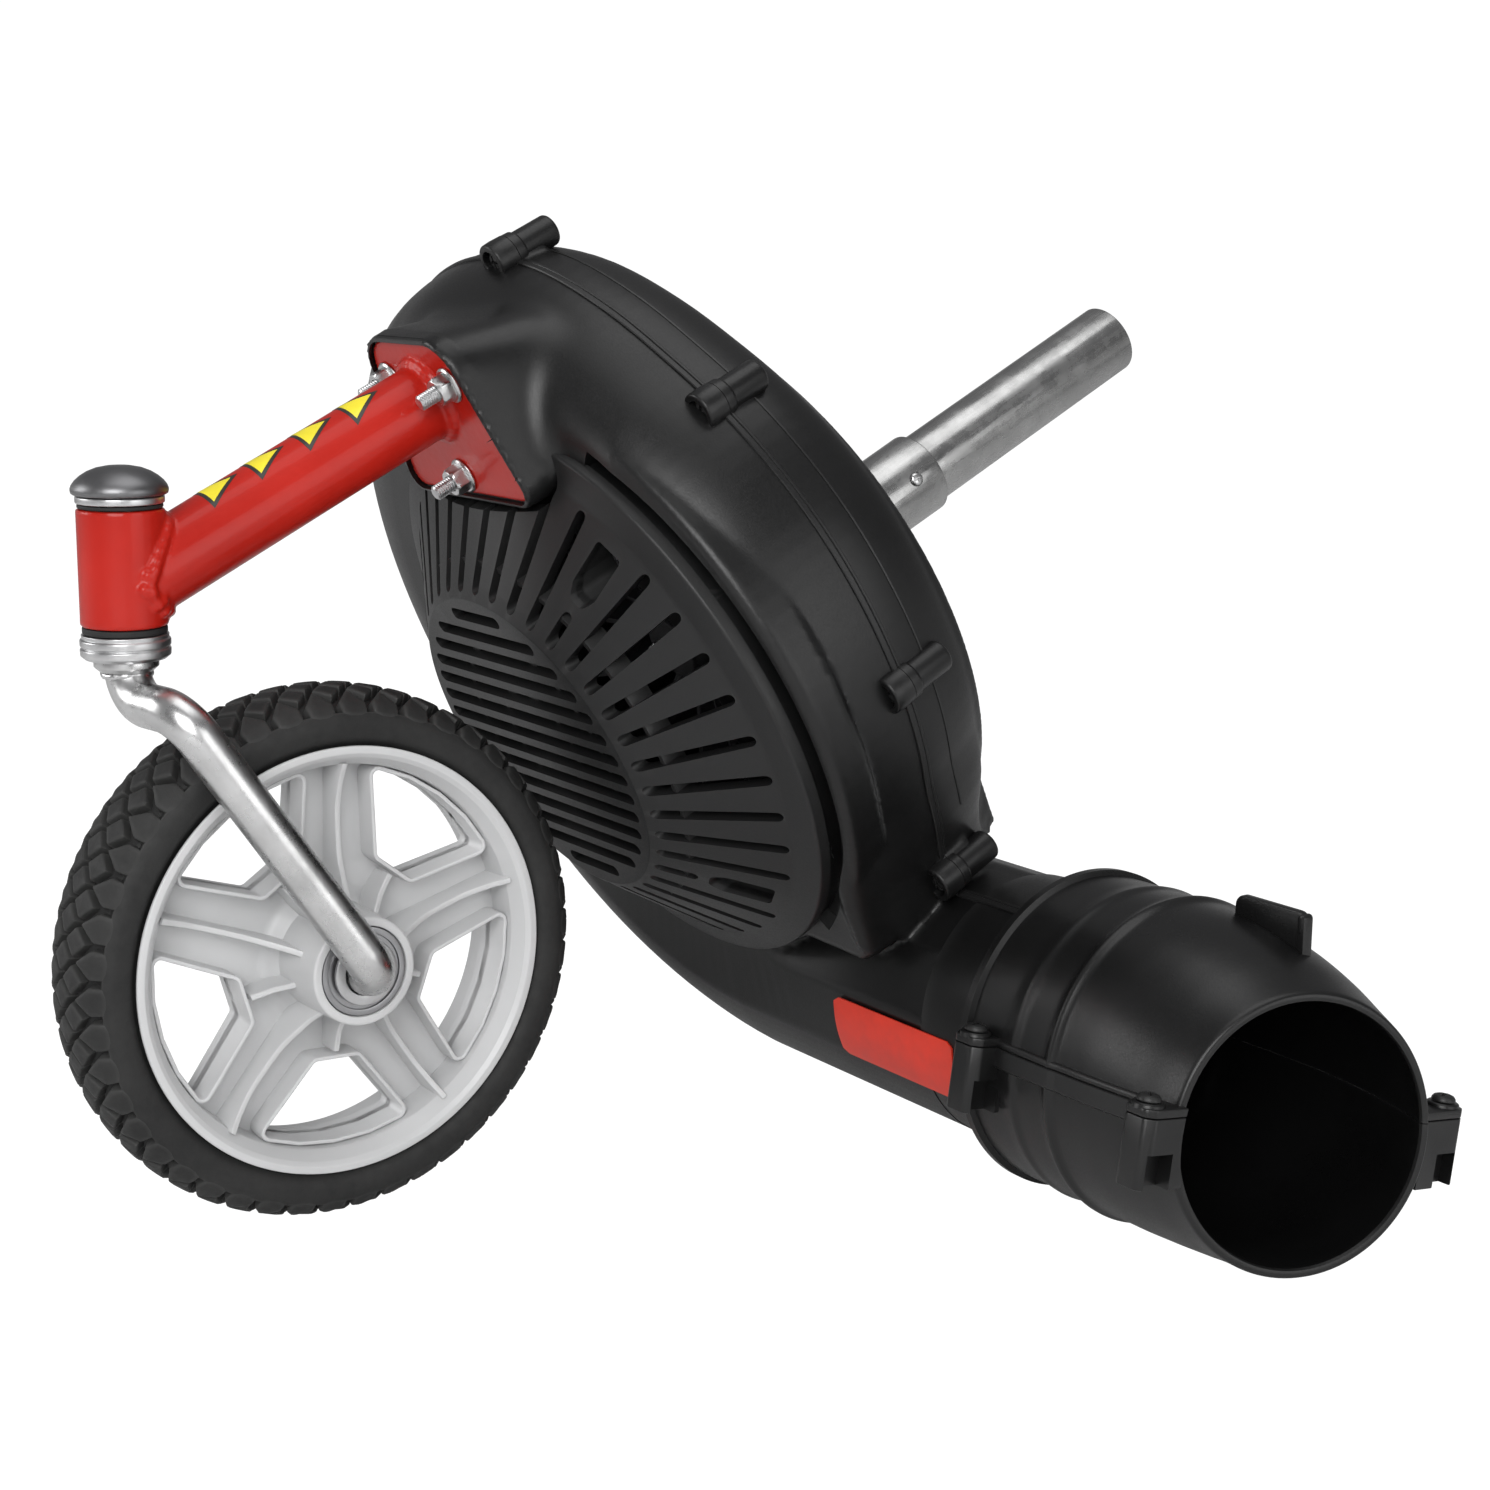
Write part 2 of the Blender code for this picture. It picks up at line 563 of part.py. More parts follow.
holes = [cyl('h', 2.4, -48.0, -36.0, 8, FAN @ Matrix.Translation((x, 0, z)), 'Y') for x, z in GS]
holes += [cyl('h', 2.9, 30.0, 44.0, 8, FAN @ Matrix.Translation((x, 0, z)), 'Y') for x, z in CS]
cut(outer, join('gh', holes))
for sx, sz in SCREWS:
    M = FAN @ Matrix.Translation((sx, 0, sz))
    cut(outer, lathe('sh', [(0, -30.0), (4.9, -30.0), (4.9, -4.6), (2.7, -4.6), (2.7, 17.0), (0, 17.0)], 10, M, 'Y'))

big = 600.0
front = outer
rear = new_obj('rear', [v.co.copy() for v in front.data.vertices],
               [list(p.vertices) for p in front.data.polygons])
fb = prism('fb', [(-big, -big), (big, -big), (big, big), (-big, big)], -0.15, big, FAN)
cut(front, fb)
rb = prism('rb', [(-big, -big), (big, -big), (big, big), (-big, big)], -big, 0.15, FAN)
cut(rear, rb)
finish(front, 'housing_front', 'black')
finish(rear, 'housing_rear', 'black')

for i, (sx, sz) in enumerate(SCREWS):
    M = FAN @ Matrix.Translation((sx, 0, sz))
    ob = lathe('s', [(0, -7.8), (4.5, -7.8), (4.5, -4.9), (2.3, -4.9), (2.3, 15.5), (0, 15.5)], 10, M, 'Y')
    finish(ob, 'housing_screw_%d' % (i + 1), 'steel')

# ================================================================ intake grille
G = [(0, PANEL_A), (PANEL_R + 1.5, PANEL_A), (PANEL_R + 7, PANEL_A + 4.2), (113.0, -53.0),
     (GRILLE_R, -49.6), (GRILLE_R, DRUM_A0 - 1.3), (GRILLE_R - 3.0, DRUM_A0 - 1.3), (GRILLE_R - 3.0, -47.4),
     (111.6, -50.3), (PANEL_R + 5.4, PANEL_A + 6.4), (PANEL_R + 0.6, PANEL_A + 2.6), (0, PANEL_A + 2.6)]
gr = lathe('g', G, SLOTS, FAN, 'Y', math.radians(-SLOT_PHASE + 180.0 / SLOTS))
for x, z in GS:
    ring_pts = [(x + 8.6 * math.cos(math.pi * q / 6), z + 8.6 * math.sin(math.pi * q / 6)) for q in range(12)]
    add(gr, loft('b', [[(px, -79.2 + (math.hypot(px, pz) - 73.0) * 0.695, pz) for px, pz in ring_pts],
                       [(px, DRUM_A0 - 1.3, pz) for px, pz in ring_pts]], FAN))
cutters = []
for k in range(SLOTS):
    kk = k if k <= 19 else k - SLOTS
    if kk in (5, -5, 15, -15):
        continue
    a = math.radians(SLOT_PHASE + 360.0 / SLOTS * kk)
    M = FAN @ Matrix.Rotation(-a, 4, 'Y')
    cutters.append(prism('s', [(PANEL_R + 3.5, -2.4), (111.0, -2.4), (111.0, 2.4), (PANEL_R + 3.5, 2.4)],
                         PANEL_A - 6, -47.5, M, 'XZ'))
cut(gr, join('slots', cutters))
bars = []
for k in range(14):
    v = -58.5 + 9.0 * k
    hl = math.sqrt((PANEL_R - 3.0) ** 2 - (abs(v) + 2.7) ** 2) - 0.6
    bars.append(prism('b', [(-hl, v - 2.7), (hl, v - 2.7), (hl, v + 2.7), (-hl, v + 2.7)], PANEL_A - 6, PANEL_A + 2.9, FAN))
cut(gr, join('bars', bars))
for x, z in GS:
    M = FAN @ Matrix.Translation((x, 0, z))
    cut(gr, lathe('p', [(0, -90.0), (6.2, -90.0), (6.2, -47.6), (2.5, -47.6), (2.5, -40.0), (0, -40.0)], 10, M, 'Y'))
cut(gr, prism('notch', plate_outline(5.4), -95.0, -40.0, FAN))
finish(gr, 'intake_grille', 'grille')
for i, (x, z) in enumerate(GS):
    M = FAN @ Matrix.Translation((x, 0, z))
    ob = lathe('s', [(0, -50.4), (4.3, -50.4), (4.3, -47.9), (2.0, -47.9), (2.0, -37.0), (0, -37.0)], 10, M, 'Y')
    finish(ob, 'grille_screw_%d' % (i + 1), 'steel')

# ================================================================ impeller and drive
imp = lathe('i', [(0, -14.0), (15.0, -14.0), (17.0, 14.0), (24.0, 20.0), (IMP_R, 22.0), (IMP_R, 24.6), (24.0, 24.6),
                  (18.0, 28.0), (0, 28.0)], 30, FAN, 'Y')
NB = 9
for k in range(NB):
    a0 = 2 * math.pi * k / NB
    P, Q = [], []
    for i in range(4):
        t = i / 3.0
        r = 15.0 + (IMP_R - 2.0 - 15.0) * t
        a = a0 - 0.55 * t * t
        w = 1.3
        n = (-math.sin(a), math.cos(a))
        P.append((r * math.cos(a) + n[0] * w, r * math.sin(a) + n[1] * w))
        Q.append((r * math.cos(a) - n[0] * w, r * math.sin(a) - n[1] * w))
    outline = P + Q[::-1]
    secs = []
    for (x, z), top in zip(outline, [interp(math.hypot(x, z), [15, 40, 75, 112], [-8, -22, -30, -24]) for x, z in outline]):
        secs.append((x, z, top))
    lo = [(x, 23.0, z) for x, z, t in secs]
    hi = [(x, t, z) for x, z, t in secs]
    add(imp, loft('bl', [lo, hi], FAN))
cut(imp, cyl('b', SHAFT_R + 0.3, -20, 40, 14, FAN, 'Y'))
finish(imp, 'impeller', 'nylon', FAN_O)
ob = lathe('n', [(0, -21.0), (5.8, -21.0), (6.6, -20.2), (6.6, -14.3), (0, -14.3)], 6, FAN, 'Y')
cut(ob, cyl('b', SHAFT_R + 0.3, -30, -10, 14, FAN, 'Y'))
finish(ob, 'impeller_nut', 'zinc', FAN_O)
ob = lathe('s', [(0, -24.5), (SHAFT_R - 0.6, -24.5), (SHAFT_R, -23.8), (SHAFT_R, TUBE_A1 - 12), (SHAFT_R - 0.6, TUBE_A1 - 11.4),
                 (0, TUBE_A1 - 11.4)], 14, FAN, 'Y')
finish(ob, 'drive_shaft', 'steel', FAN_O)
for nm, a0, ro in (('shaft_bearing_front', 31.0, 13.4), ('shaft_bearing_rear', 226.0, TUBE_BORE - 0.35)):
    ob = lathe(nm, [(SHAFT_R + 0.35, a0), (7.0, a0), (7.4, a0 + 0.7), (ro - 2.6, a0 + 0.7), (ro - 2.2, a0), (ro, a0),
                    (ro, a0 + 8), (SHAFT_R + 0.35, a0 + 8)], 18, FAN, 'Y')
    finish(ob, nm, 'steel', FAN_O)
# carrier bolted behind the rear half: flange, spigot in the housing eye, tube socket
car = lathe('c', [(13.8, 30.6), (26.6, 30.6), (26.6, DRUM_A1 + 0.3), (45.0, DRUM_A1 + 0.3), (45.0, DRUM_A1 + 4.6),
                  (30.0, DRUM_A1 + 6.0), (22.0, 58.0), (21.0, 74.0), (15.9, 74.0), (15.9, 49.6), (9.0, 49.6),
                  (9.0, 39.4), (13.8, 39.4)], 28, FAN, 'Y')
holes = [cyl('h', 2.9, 34.0, 50.0, 8, FAN @ Matrix.Translation((x, 0, z)), 'Y') for x, z in CS]
cut(car, join('ch', holes))
finish(car, 'bearing_carrier', 'alu')
for i, (x, z) in enumerate(CS):
    M = FAN @ Matrix.Translation((x, 0, z))
    ob = lathe('s', [(0, 50.6), (4.2, 50.6), (4.2, 46.4), (2.4, 46.4), (2.4, 33.0), (0, 33.0)], 10, M, 'Y')
    finish(ob, 'carrier_screw_%d' % (i + 1), 'zinc')
tube = ring('t', TUBE_BORE, TUBE_R, TUBE_A0, TUBE_A1, 28, FAN, 'Y')
finish(tube, 'drive_tube', 'zinc')
col = lathe('c', [(15.85, 76.0), (17.6, 76.0), (17.9, 76.6), (17.9, 128.6), (17.4, 129.4), (15.85, 129.4)], 26, FAN, 'Y')
slit = prism('sl', [(-0.8, 10.0), (0.8, 10.0), (0.8, 22.0), (-0.8, 22.0)], 70.0, 140.0, FAN @ Matrix.Rotation(math.radians(200), 4, 'Y'))
cut(col, slit)
SM = FAN @ Matrix.Rotation(math.radians(-20), 4, 'Y') @ Matrix.Translation((0, 116.0, 0))
cut(col, cyl('b', 2.9, 10.0, 24.0, 14, SM @ Matrix.Rotation(math.pi / 2, 4, 'Y')))
finish(col, 'tube_collar', 'zinc')
ob = cyl('s', 2.5, 15.9, 19.2, 14, SM @ Matrix.Rotation(math.pi / 2, 4, 'Y'))
finish(ob, 'collar_screw', 'steel')

# ================================================================ outlet nozzle
st = math.radians(SEAM_TILT)
NM = Matrix.Translation((0, DUCT_C.y, DUCT_C.z)) @ Matrix.Rotation(-st, 4, 'X')
# nozzle frame: local -y is the front end of the seam plane, local z its normal
MC = NM.inverted() @ Vector(MOUTH)
MN = (NM.to_3x3().inverted() @ Vector((math.cos(math.radians(17)), -math.sin(math.radians(17)), 0.09))).normalized()


def noz_sec(x, r, n):
    t = max(0.0, min(1.0, (x - 205.0) / (MOUTH[0] - 205.0)))
    e = t * t
    c = Vector((x, MC.y * e, MC.z * e))
    d = Vector((1, 0, 0)).lerp(MN, t).normalized()
    u = Vector((0, 0, 1))
    u = (u - d * u.dot(d)).normalized()
    w = d.cross(u)
    return [c + (u * math.cos(a) + w * math.sin(a)) * r for a in [2 * math.pi * (k + 0.5) / n for k in range(n)]]


NOZ = [(NOZ_X0, 61.2), (NOZ_X0 + 3.6, 61.2), (NOZ_X0 + 4.2, 60.0), (186, 60.2), (188.5, 61.8), (191, 60.2), (206, 60.4),
       (208.5, 61.8), (211, 60.4), (228, 59.6), (244, 57.8), (260, 54.9), (MOUTH[0], MOUTH_R)]
NN = 28
outer = loft('no', [noz_sec(x, r, NN) for x, r in NOZ], NM)
inner_secs = [noz_sec(x, r, NN) for x, r in ((NOZ_X0 - 4, 53.6), (NOZ_X0 + 4.2, 53.6), (NOZ_X0 + 4.8, 56.6),
                                            (205, 57.0), (228, 56.4), (244, 54.6), (260, 51.7))]
last = noz_sec(MOUTH[0], MOUTH_R - NOZ_WALL, NN)
ext = [Vector(p) + MN * 6.0 for p in last]
inner = loft('ni', inner_secs + [last, ext], NM)
LUGS = [(173.5, -1, 66.0, 10.0), (263.0, -1, 67.0, 14.0), (173.5, 1, 66.0, 10.0), (287.5, 1, 56.0, 17.0)]
for x, s, y, reach in LUGS:
    M = NM @ Matrix.Translation((x, s * y, 0))
    add(outer, prism('l', [(-7.0, -reach * s), (7.0, -reach * s), (7.0, 2.5 * s), (4.2, 5.6 * s), (-4.2, 5.6 * s), (-7.0, 2.5 * s)], -25.0, 4.6, M, 'XY'))
tab = prism('t', [(224.5, 49.0), (257.5, 51.4), (257.5, 62.3), (254.5, 65.3), (227.5, 65.3), (224.5, 62.3)], 12.2, 15.8,
            NM @ Matrix.Rotation(math.radians(8), 4, 'X'), 'XZ')
add(outer, tab)
cut(outer, inner)
for x, s, y, reach in LUGS:
    M = NM @ Matrix.Translation((x, s * y, 0))
    cut(outer, cyl('h', 2.5, -14.0, 12.0, 8, M))
    pocket = [(1.0, -8.0 * s), (9.0, -8.0 * s), (9.0, 3.2 * s), (1.0, 3.2 * s)]
    cut(outer, prism('p', pocket, -30.0, -12.5, M, 'XY'))
upper = outer
lower = new_obj('lower', [v.co.copy() for v in upper.data.vertices], [list(p.vertices) for p in upper.data.polygons])
cut(upper, prism('ub', [(-big, -big), (big, -big), (big, big), (-big, big)], -big, 0.15, NM, 'XY'))
cut(lower, prism('lb', [(-big, -big), (big, -big), (big, big), (-big, big)], -0.15, big, NM, 'XY'))
finish(upper, 'nozzle_upper', 'black', NOZ_O)
finish(lower, 'nozzle_lower', 'black', NOZ_O)
for i, (x, s, y, reach) in enumerate(LUGS):
    M = NM @ Matrix.Translation((x, s * y, 0))
    ob = lathe('s', [(0, -11.0), (2.1, -11.0), (2.1, 4.9), (4.4, 4.9), (4.4, 7.2), (0, 7.2)], 10, M)
    finish(ob, 'nozzle_screw_%d' % (i + 1), 'steel', NOZ_O)

# ================================================================ duct label
DM = Matrix.Translation((0, DUCT_C.y, DUCT_C.z))
ins, outs = [], []
for k in range(9):
    a = math.radians(-1.0 - 27.5 * k / 8.0)
    for lst, r in ((ins, DUCT_R + 0.15), (outs, DUCT_R + 0.55)):
        lst.append((-r * math.cos(a), r * math.sin(a)))
lab = prism('l', ins + outs[::-1], 74.0, 147.0, DM, 'YZ')
finish(lab, 'duct_label', 'label')
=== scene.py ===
# Looks of the walk behind leaf blower head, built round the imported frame.
# Lengths are millimetres in the mesh code; final() scales each mesh to metres.
import bpy
import bmesh
import math
import numpy as np
from mathutils import Matrix, Vector, noise


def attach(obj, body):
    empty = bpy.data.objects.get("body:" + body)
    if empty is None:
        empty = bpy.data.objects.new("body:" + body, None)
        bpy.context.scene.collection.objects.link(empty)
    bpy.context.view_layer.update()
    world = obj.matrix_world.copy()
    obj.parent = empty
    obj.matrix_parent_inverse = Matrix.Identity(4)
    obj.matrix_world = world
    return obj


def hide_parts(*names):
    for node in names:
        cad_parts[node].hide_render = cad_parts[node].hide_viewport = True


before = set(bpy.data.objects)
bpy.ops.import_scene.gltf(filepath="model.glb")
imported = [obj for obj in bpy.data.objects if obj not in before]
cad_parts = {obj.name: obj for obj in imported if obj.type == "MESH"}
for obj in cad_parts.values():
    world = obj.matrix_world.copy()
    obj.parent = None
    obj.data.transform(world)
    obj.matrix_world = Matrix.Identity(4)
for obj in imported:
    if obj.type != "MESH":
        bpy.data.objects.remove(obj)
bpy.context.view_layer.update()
SC = bpy.context.scene
COLL = SC.collection
PI = math.pi

# ------------------------------------------------------------------ frame sizes (as the CAD states them)
WHEEL_R, WHEEL_Y = 101.6, -170.0
HEAD_Y, HEAD_R = -242.0, 15.2
HEAD_Z0, HEAD_Z1 = 231.0, 272.0
FAN_Z, TILT = 209.0, 27.2
NECK_V, NECK_R = 141.5, 14.8
DUCT_R, DUCT_V, DUCT_END = 53.0, -155.0, 176.0
DRUM_R, DRUM_A0, DRUM_A1 = 126.0, -43.0, 38.0
GRILLE_R, PANEL_A, PANEL_R = 124.0, -85.0, 66.0
SLOTS, SLOT_PHASE = 39, 2.0
TH = math.radians(TILT)
ID = Matrix.Identity(4)
FAN = Matrix.Translation((0, 0, FAN_Z)) @ Matrix.Rotation(TH, 4, 'X')
WM = Matrix.Translation((0, WHEEL_Y, WHEEL_R))
HM = Matrix.Translation((0, HEAD_Y, 0))
DUCT_C = FAN @ Vector((0, 0, DUCT_V))
NM = Matrix.Translation((0, DUCT_C.y, DUCT_C.z)) @ Matrix.Rotation(-math.radians(8.0), 4, 'X')
TR = Matrix.Translation
FOOT = Vector((52.09, -21.08, 0.0))   # middle of the footprint: the origin of the handed-over frame


# ------------------------------------------------------------------ mesh helpers
def new_obj(name, verts, faces, fix=True):
    me = bpy.data.meshes.new(name)
    me.from_pydata([tuple(v) for v in verts], [], faces)
    if fix:
        bm = bmesh.new()
        bm.from_mesh(me)
        bmesh.ops.recalc_face_normals(bm, faces=bm.faces)
        bm.to_mesh(me)
        bm.free()
    ob = bpy.data.objects.new(name, me)
    COLL.objects.link(ob)
    return ob


def rnd(pts, n=4):
    """Round the corners of a closed outline: points are (a, b) or (a, b, fillet)."""
    out = []
    m = len(pts)
    for i in range(m):
        p = pts[i]
        f = p[2] if len(p) > 2 else 0.0
        c = Vector((p[0], p[1]))
        if f <= 0:
            out.append((c.x, c.y))
            continue
        a = Vector(pts[i - 1][:2]) - c
        b = Vector(pts[(i + 1) % m][:2]) - c
        la, lb = a.length, b.length
        if la < 1e-6 or lb < 1e-6:
            out.append((c.x, c.y))
            continue
        a.normalize()
        b.normalize()
        ang = a.angle(b)
        if ang > PI - 0.02:
            out.append((c.x, c.y))
            continue
        t = min(f / math.tan(ang / 2), la * 0.49, lb * 0.49)
        r = t * math.tan(ang / 2)
        o = c + (a + b).normalized() * (r / math.sin(ang / 2))
        s, e = c + a * t - o, c + b * t - o
        sweepa = PI - ang
        for k in range(n + 1):
            w = k / n
            v = (s * math.sin((1 - w) * sweepa) + e * math.sin(w * sweepa)) / math.sin(sweepa)
            out.append((o.x + v.x, o.y + v.y))
    return out


AX = {'X': Matrix(((0, 0, 1, 0), (1, 0, 0, 0), (0, 1, 0, 0), (0, 0, 0, 1))),
      'Y': Matrix(((1, 0, 0, 0), (0, 0, 1, 0), (0, -1, 0, 0), (0, 0, 0, 1))), 'Z': ID}


def lathe(name, prof, n, mat=ID, axis='Z', phase=0.0, bump=None):
    """Revolve a closed (r, h) outline about the local axis."""
    verts, rows = [], []
    for r, h in prof:
        if r < 1e-9:
            verts.append(Vector((0, 0, h)))
            rows.append([len(verts) - 1] * n)
        else:
            row = []
            for i in range(n):
                t = 2 * PI * i / n + phase
                q = r if bump is None else r + bump(r, h, t)
                verts.append(Vector((q * math.cos(t), q * math.sin(t), h)))
                row.append(len(verts) - 1)
            rows.append(row)
    faces = []
    m = len(rows)
    for k in range(m):
        a, b = rows[k], rows[(k + 1) % m]
        if prof[k][0] < 1e-9 and prof[(k + 1) % m][0] < 1e-9:
            continue
        for i in range(n):
            j = (i + 1) % n
            f = []
            for q in (a[i], a[j], b[j], b[i]):
                if q not in f:
                    f.append(q)
            if len(f) >= 3:
                faces.append(f)
    T = mat @ AX[axis]
    return new_obj(name, [T @ v for v in verts], faces)


def cyl(name, r, h0, h1, n, mat=ID, axis='Z', ch=0.0, phase=0.0):
    if ch > 0:
        prof = rnd([(0, h0), (r, h0, ch), (r, h1, ch), (0, h1)], 3)
    else:
        prof = [(0, h0), (r, h0), (r, h1), (0, h1)]
    return lathe(name, prof, n, mat, axis, phase)


def prism(name, poly, h0, h1, mat=ID, plane='XZ', ch=0.0):
    """Extrude an outline; ch gives rounded end edges (outline shrunk towards its middle)."""
    if ch > 0:
        c = Vector((sum(p[0] for p in poly) / len(poly), sum(p[1] for p in poly) / len(poly)))
        rings = [(h0, ch), (h0 + ch * 0.3, ch * 0.3), (h0 + ch, 0), (h1 - ch, 0), (h1 - ch * 0.3, ch * 0.3), (h1, ch)]
    else:
        rings = [(h0, 0), (h1, 0)]
    n = len(poly)
    nrm = []
    area = sum(poly[i - 1][0] * poly[i][1] - poly[i][0] * poly[i - 1][1] for i in range(n))
    sg = 1.0 if area > 0 else -1.0
    for i in range(n):
        a, b, c2 = Vector(poly[i - 1][:2]), Vector(poly[i][:2]), Vector(poly[(i + 1) % n][:2])
        d1, d2 = (b - a), (c2 - b)
        n1 = Vector((d1.y, -d1.x)).normalized() if d1.length > 1e-9 else Vector((0, 0))
        n2 = Vector((d2.y, -d2.x)).normalized() if d2.length > 1e-9 else Vector((0, 0))
        v = n1 + n2
        v = v.normalized() if v.length > 1e-9 else n1
        nrm.append(v * sg)
    verts = []
    for h, off in rings:
        for i, p in enumerate(poly):
            a, b = p[0] - nrm[i].x * off, p[1] - nrm[i].y * off
            v = Vector((a, h, b)) if plane == 'XZ' else (Vector((a, b, h)) if plane == 'XY' else Vector((h, a, b)))
            verts.append(mat @ v)
    m = len(rings)
    faces = [list(range(n)), list(range((m - 1) * n, m * n))]
    for k in range(m - 1):
        for i in range(n):
            j = (i + 1) % n
            faces.append([k * n + i, k * n + j, (k + 1) * n + j, (k + 1) * n + i])
    return new_obj(name, verts, faces)


def loft(name, secs, mat=ID, closed=False, caps=True):
    n = len(secs[0])
    verts = [mat @ Vector(p) for s in secs for p in s]
    faces = []
    if caps and not closed:
        faces = [list(range(n)), list(range((len(secs) - 1) * n, len(secs) * n))]
    m = len(secs)
    for k in range(m if closed else m - 1):
        k2 = (k + 1) % m
        for i in range(n):
            j = (i + 1) % n
            faces.append([k * n + i, k * n + j, k2 * n + j, k2 * n + i])
    return new_obj(name, verts, faces)


def sweep(name, pts, r, n, mod=None):
    """Round rod along a polyline. r may be a function of (arc length, angle)."""
    pts = [Vector(p) for p in pts]
    tang = []
    for i in range(len(pts)):
        if i == 0:
            t = pts[1] - pts[0]
        elif i == len(pts) - 1:
            t = pts[-1] - pts[-2]
        else:
            t = (pts[i + 1] - pts[i]).normalized() + (pts[i] - pts[i - 1]).normalized()
        tang.append(t.normalized())
    u = tang[0].orthogonal().normalized()
    secs = []
    s = 0.0
    for i, p in enumerate(pts):
        if i:
            s += (p - pts[i - 1]).length
        t = tang[i]
        u = (u - t * u.dot(t)).normalized()
        w = t.cross(u)
        secs.append([p + (u * math.cos(a) + w * math.sin(a)) * (r(s, a) if callable(r) else r)
                     for a in [2 * PI * k / n for k in range(n)]])
    return loft(name, secs)


def filleted(corners, segs):
    P = [Vector(c[:3]) for c in corners]
    out = [P[0]]
    for i in range(1, len(P) - 1):
        u = (P[i - 1] - P[i]).normalized()
        v = (P[i + 1] - P[i]).normalized()
        ang = PI - u.angle(v)
        r = corners[i][3]
        tl = r * math.tan(ang / 2)
        c = P[i] + (u + v).normalized() * (r / math.cos(ang / 2))
        s0, s1 = P[i] + u * tl - c, P[i] + v * tl - c
        for k in range(segs + 1):
            t = k / segs
            out.append(c + (s0 * math.sin((1 - t) * ang) + s1 * math.sin(t * ang)) / math.sin(ang))
    out.append(P[-1])
    fine = [out[0]]
    for p in out[1:]:
        d = (p - fine[-1]).length
        k = max(1, int(d / 12.0))
        a = fine[-1].copy()
        for q in range(1, k + 1):
            fine.append(a.lerp(p, q / k))
    return fine


def take(ob, m):
    """Replace an object's mesh by the result of its modifiers."""
    dg = bpy.context.evaluated_depsgraph_get()
    me = bpy.data.meshes.new_from_object(ob.evaluated_get(dg))
    ob.modifiers.clear()
    old = ob.data
    ob.data = me
    bpy.data.meshes.remove(old)
    return ob


def boolean(ob, other, op):
    m = ob.modifiers.new('b', 'BOOLEAN')
    m.operation, m.solver, m.object = op, 'EXACT', other
    take(ob, m)
    bpy.data.objects.remove(other, do_unlink=True)
    return ob


def add(ob, other):
    return boolean(ob, other, 'UNION')


def cut(ob, other):
    return boolean(ob, other, 'DIFFERENCE')


def join(name, obs):
    verts, faces = [], []
    for o in obs:
        k = len(verts)
        verts += [v.co.copy() for v in o.data.vertices]
        faces += [[k + i for i in p.vertices] for p in o.data.polygons]
        bpy.data.objects.remove(o, do_unlink=True)
    return new_obj(name, verts, faces, fix=False)


def final(ob, name, mat, body, reps=(), sharp=32.0):
    ob.data.transform(Matrix.Scale(0.001, 4) @ Matrix.Translation(-FOOT))
    ob.name = name
    ob.data.name = name
    ob.data.materials.clear()
    ob.data.materials.append(mat)
    ob.data.shade_smooth()
    ob.data.set_sharp_from_angle(angle=math.radians(sharp))
    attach(ob, body)
    if reps:
        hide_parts(*reps)
    return ob


def pchip(xs, ys):
    """Smooth shape-keeping curve through points."""
    x, y = np.array(xs, float), np.array(ys, float)
    h, d = np.diff(x), np.diff(y) / np.diff(x)
    m = np.zeros(len(x))
    m[0], m[-1] = d[0], d[-1]
    for i in range(1, len(x) - 1):
        if d[i - 1] * d[i] > 0:
            w1, w2 = 2 * h[i] + h[i - 1], h[i] + 2 * h[i - 1]
            m[i] = (w1 + w2) / (w1 / d[i - 1] + w2 / d[i])

    def f(q):
        q = min(max(q, x[0]), x[-1])
        i = min(len(x) - 2, max(0, int(np.searchsorted(x, q) - 1)))
        t = (q - x[i]) / h[i]
        return float((2 * t**3 - 3 * t**2 + 1) * y[i] + (t**3 - 2 * t**2 + t) * h[i] * m[i]
                     + (-2 * t**3 + 3 * t**2) * y[i + 1] + (t**3 - t**2) * h[i] * m[i + 1])
    return f


def hull(circles, seg):
    P = []
    for cx, cz, r in circles:
        for k in range(seg):
            a = 2 * PI * k / seg
            P.append((cx + r * math.cos(a), cz + r * math.sin(a)))
    P.sort()

    def turn(o, a, b):
        return (a[0] - o[0]) * (b[1] - o[1]) - (a[1] - o[1]) * (b[0] - o[0])
    lo, up = [], []
    for p in P:
        while len(lo) >= 2 and turn(lo[-2], lo[-1], p) <= 1e-6:
            lo.pop()
        lo.append(p)
    for p in reversed(P):
        while len(up) >= 2 and turn(up[-2], up[-1], p) <= 1e-6:
            up.pop()
        up.append(p)
    return lo[:-1] + up[:-1]


def plate_outline(grow, seg=48):
    return hull([(-17, 150, 15 + grow), (17, 150, 15 + grow), (-37, 107.0, 6 + grow), (37, 107.0, 6 + grow)], seg)


# ------------------------------------------------------------------ materials, all from nodes
def mat_base(name, rgb, metallic, rough, coat=0.0, coat_rough=0.1, spec=0.5):
    m = bpy.data.materials.new(name)
    m.use_nodes = True
    nt = m.node_tree
    b = nt.nodes['Principled BSDF']
    b.inputs['Base Color'].default_value = (*rgb, 1)
    b.inputs['Metallic'].default_value = metallic
    b.inputs['Roughness'].default_value = rough
    b.inputs['Coat Weight'].default_value = coat
    b.inputs['Coat Roughness'].default_value = coat_rough
    b.inputs['Specular IOR Level'].default_value = spec
    tc = nt.nodes.new('ShaderNodeTexCoord')
    return m, nt, b, tc


def nz(nt, vec, scale, detail=3.0, rough=0.55):
    n = nt.nodes.new('ShaderNodeTexNoise')
    n.inputs['Scale'].default_value = scale
    n.inputs['Detail'].default_value = detail
    n.inputs['Roughness'].default_value = rough
    nt.links.new(vec, n.inputs['Vector'])
    return n.outputs['Fac']


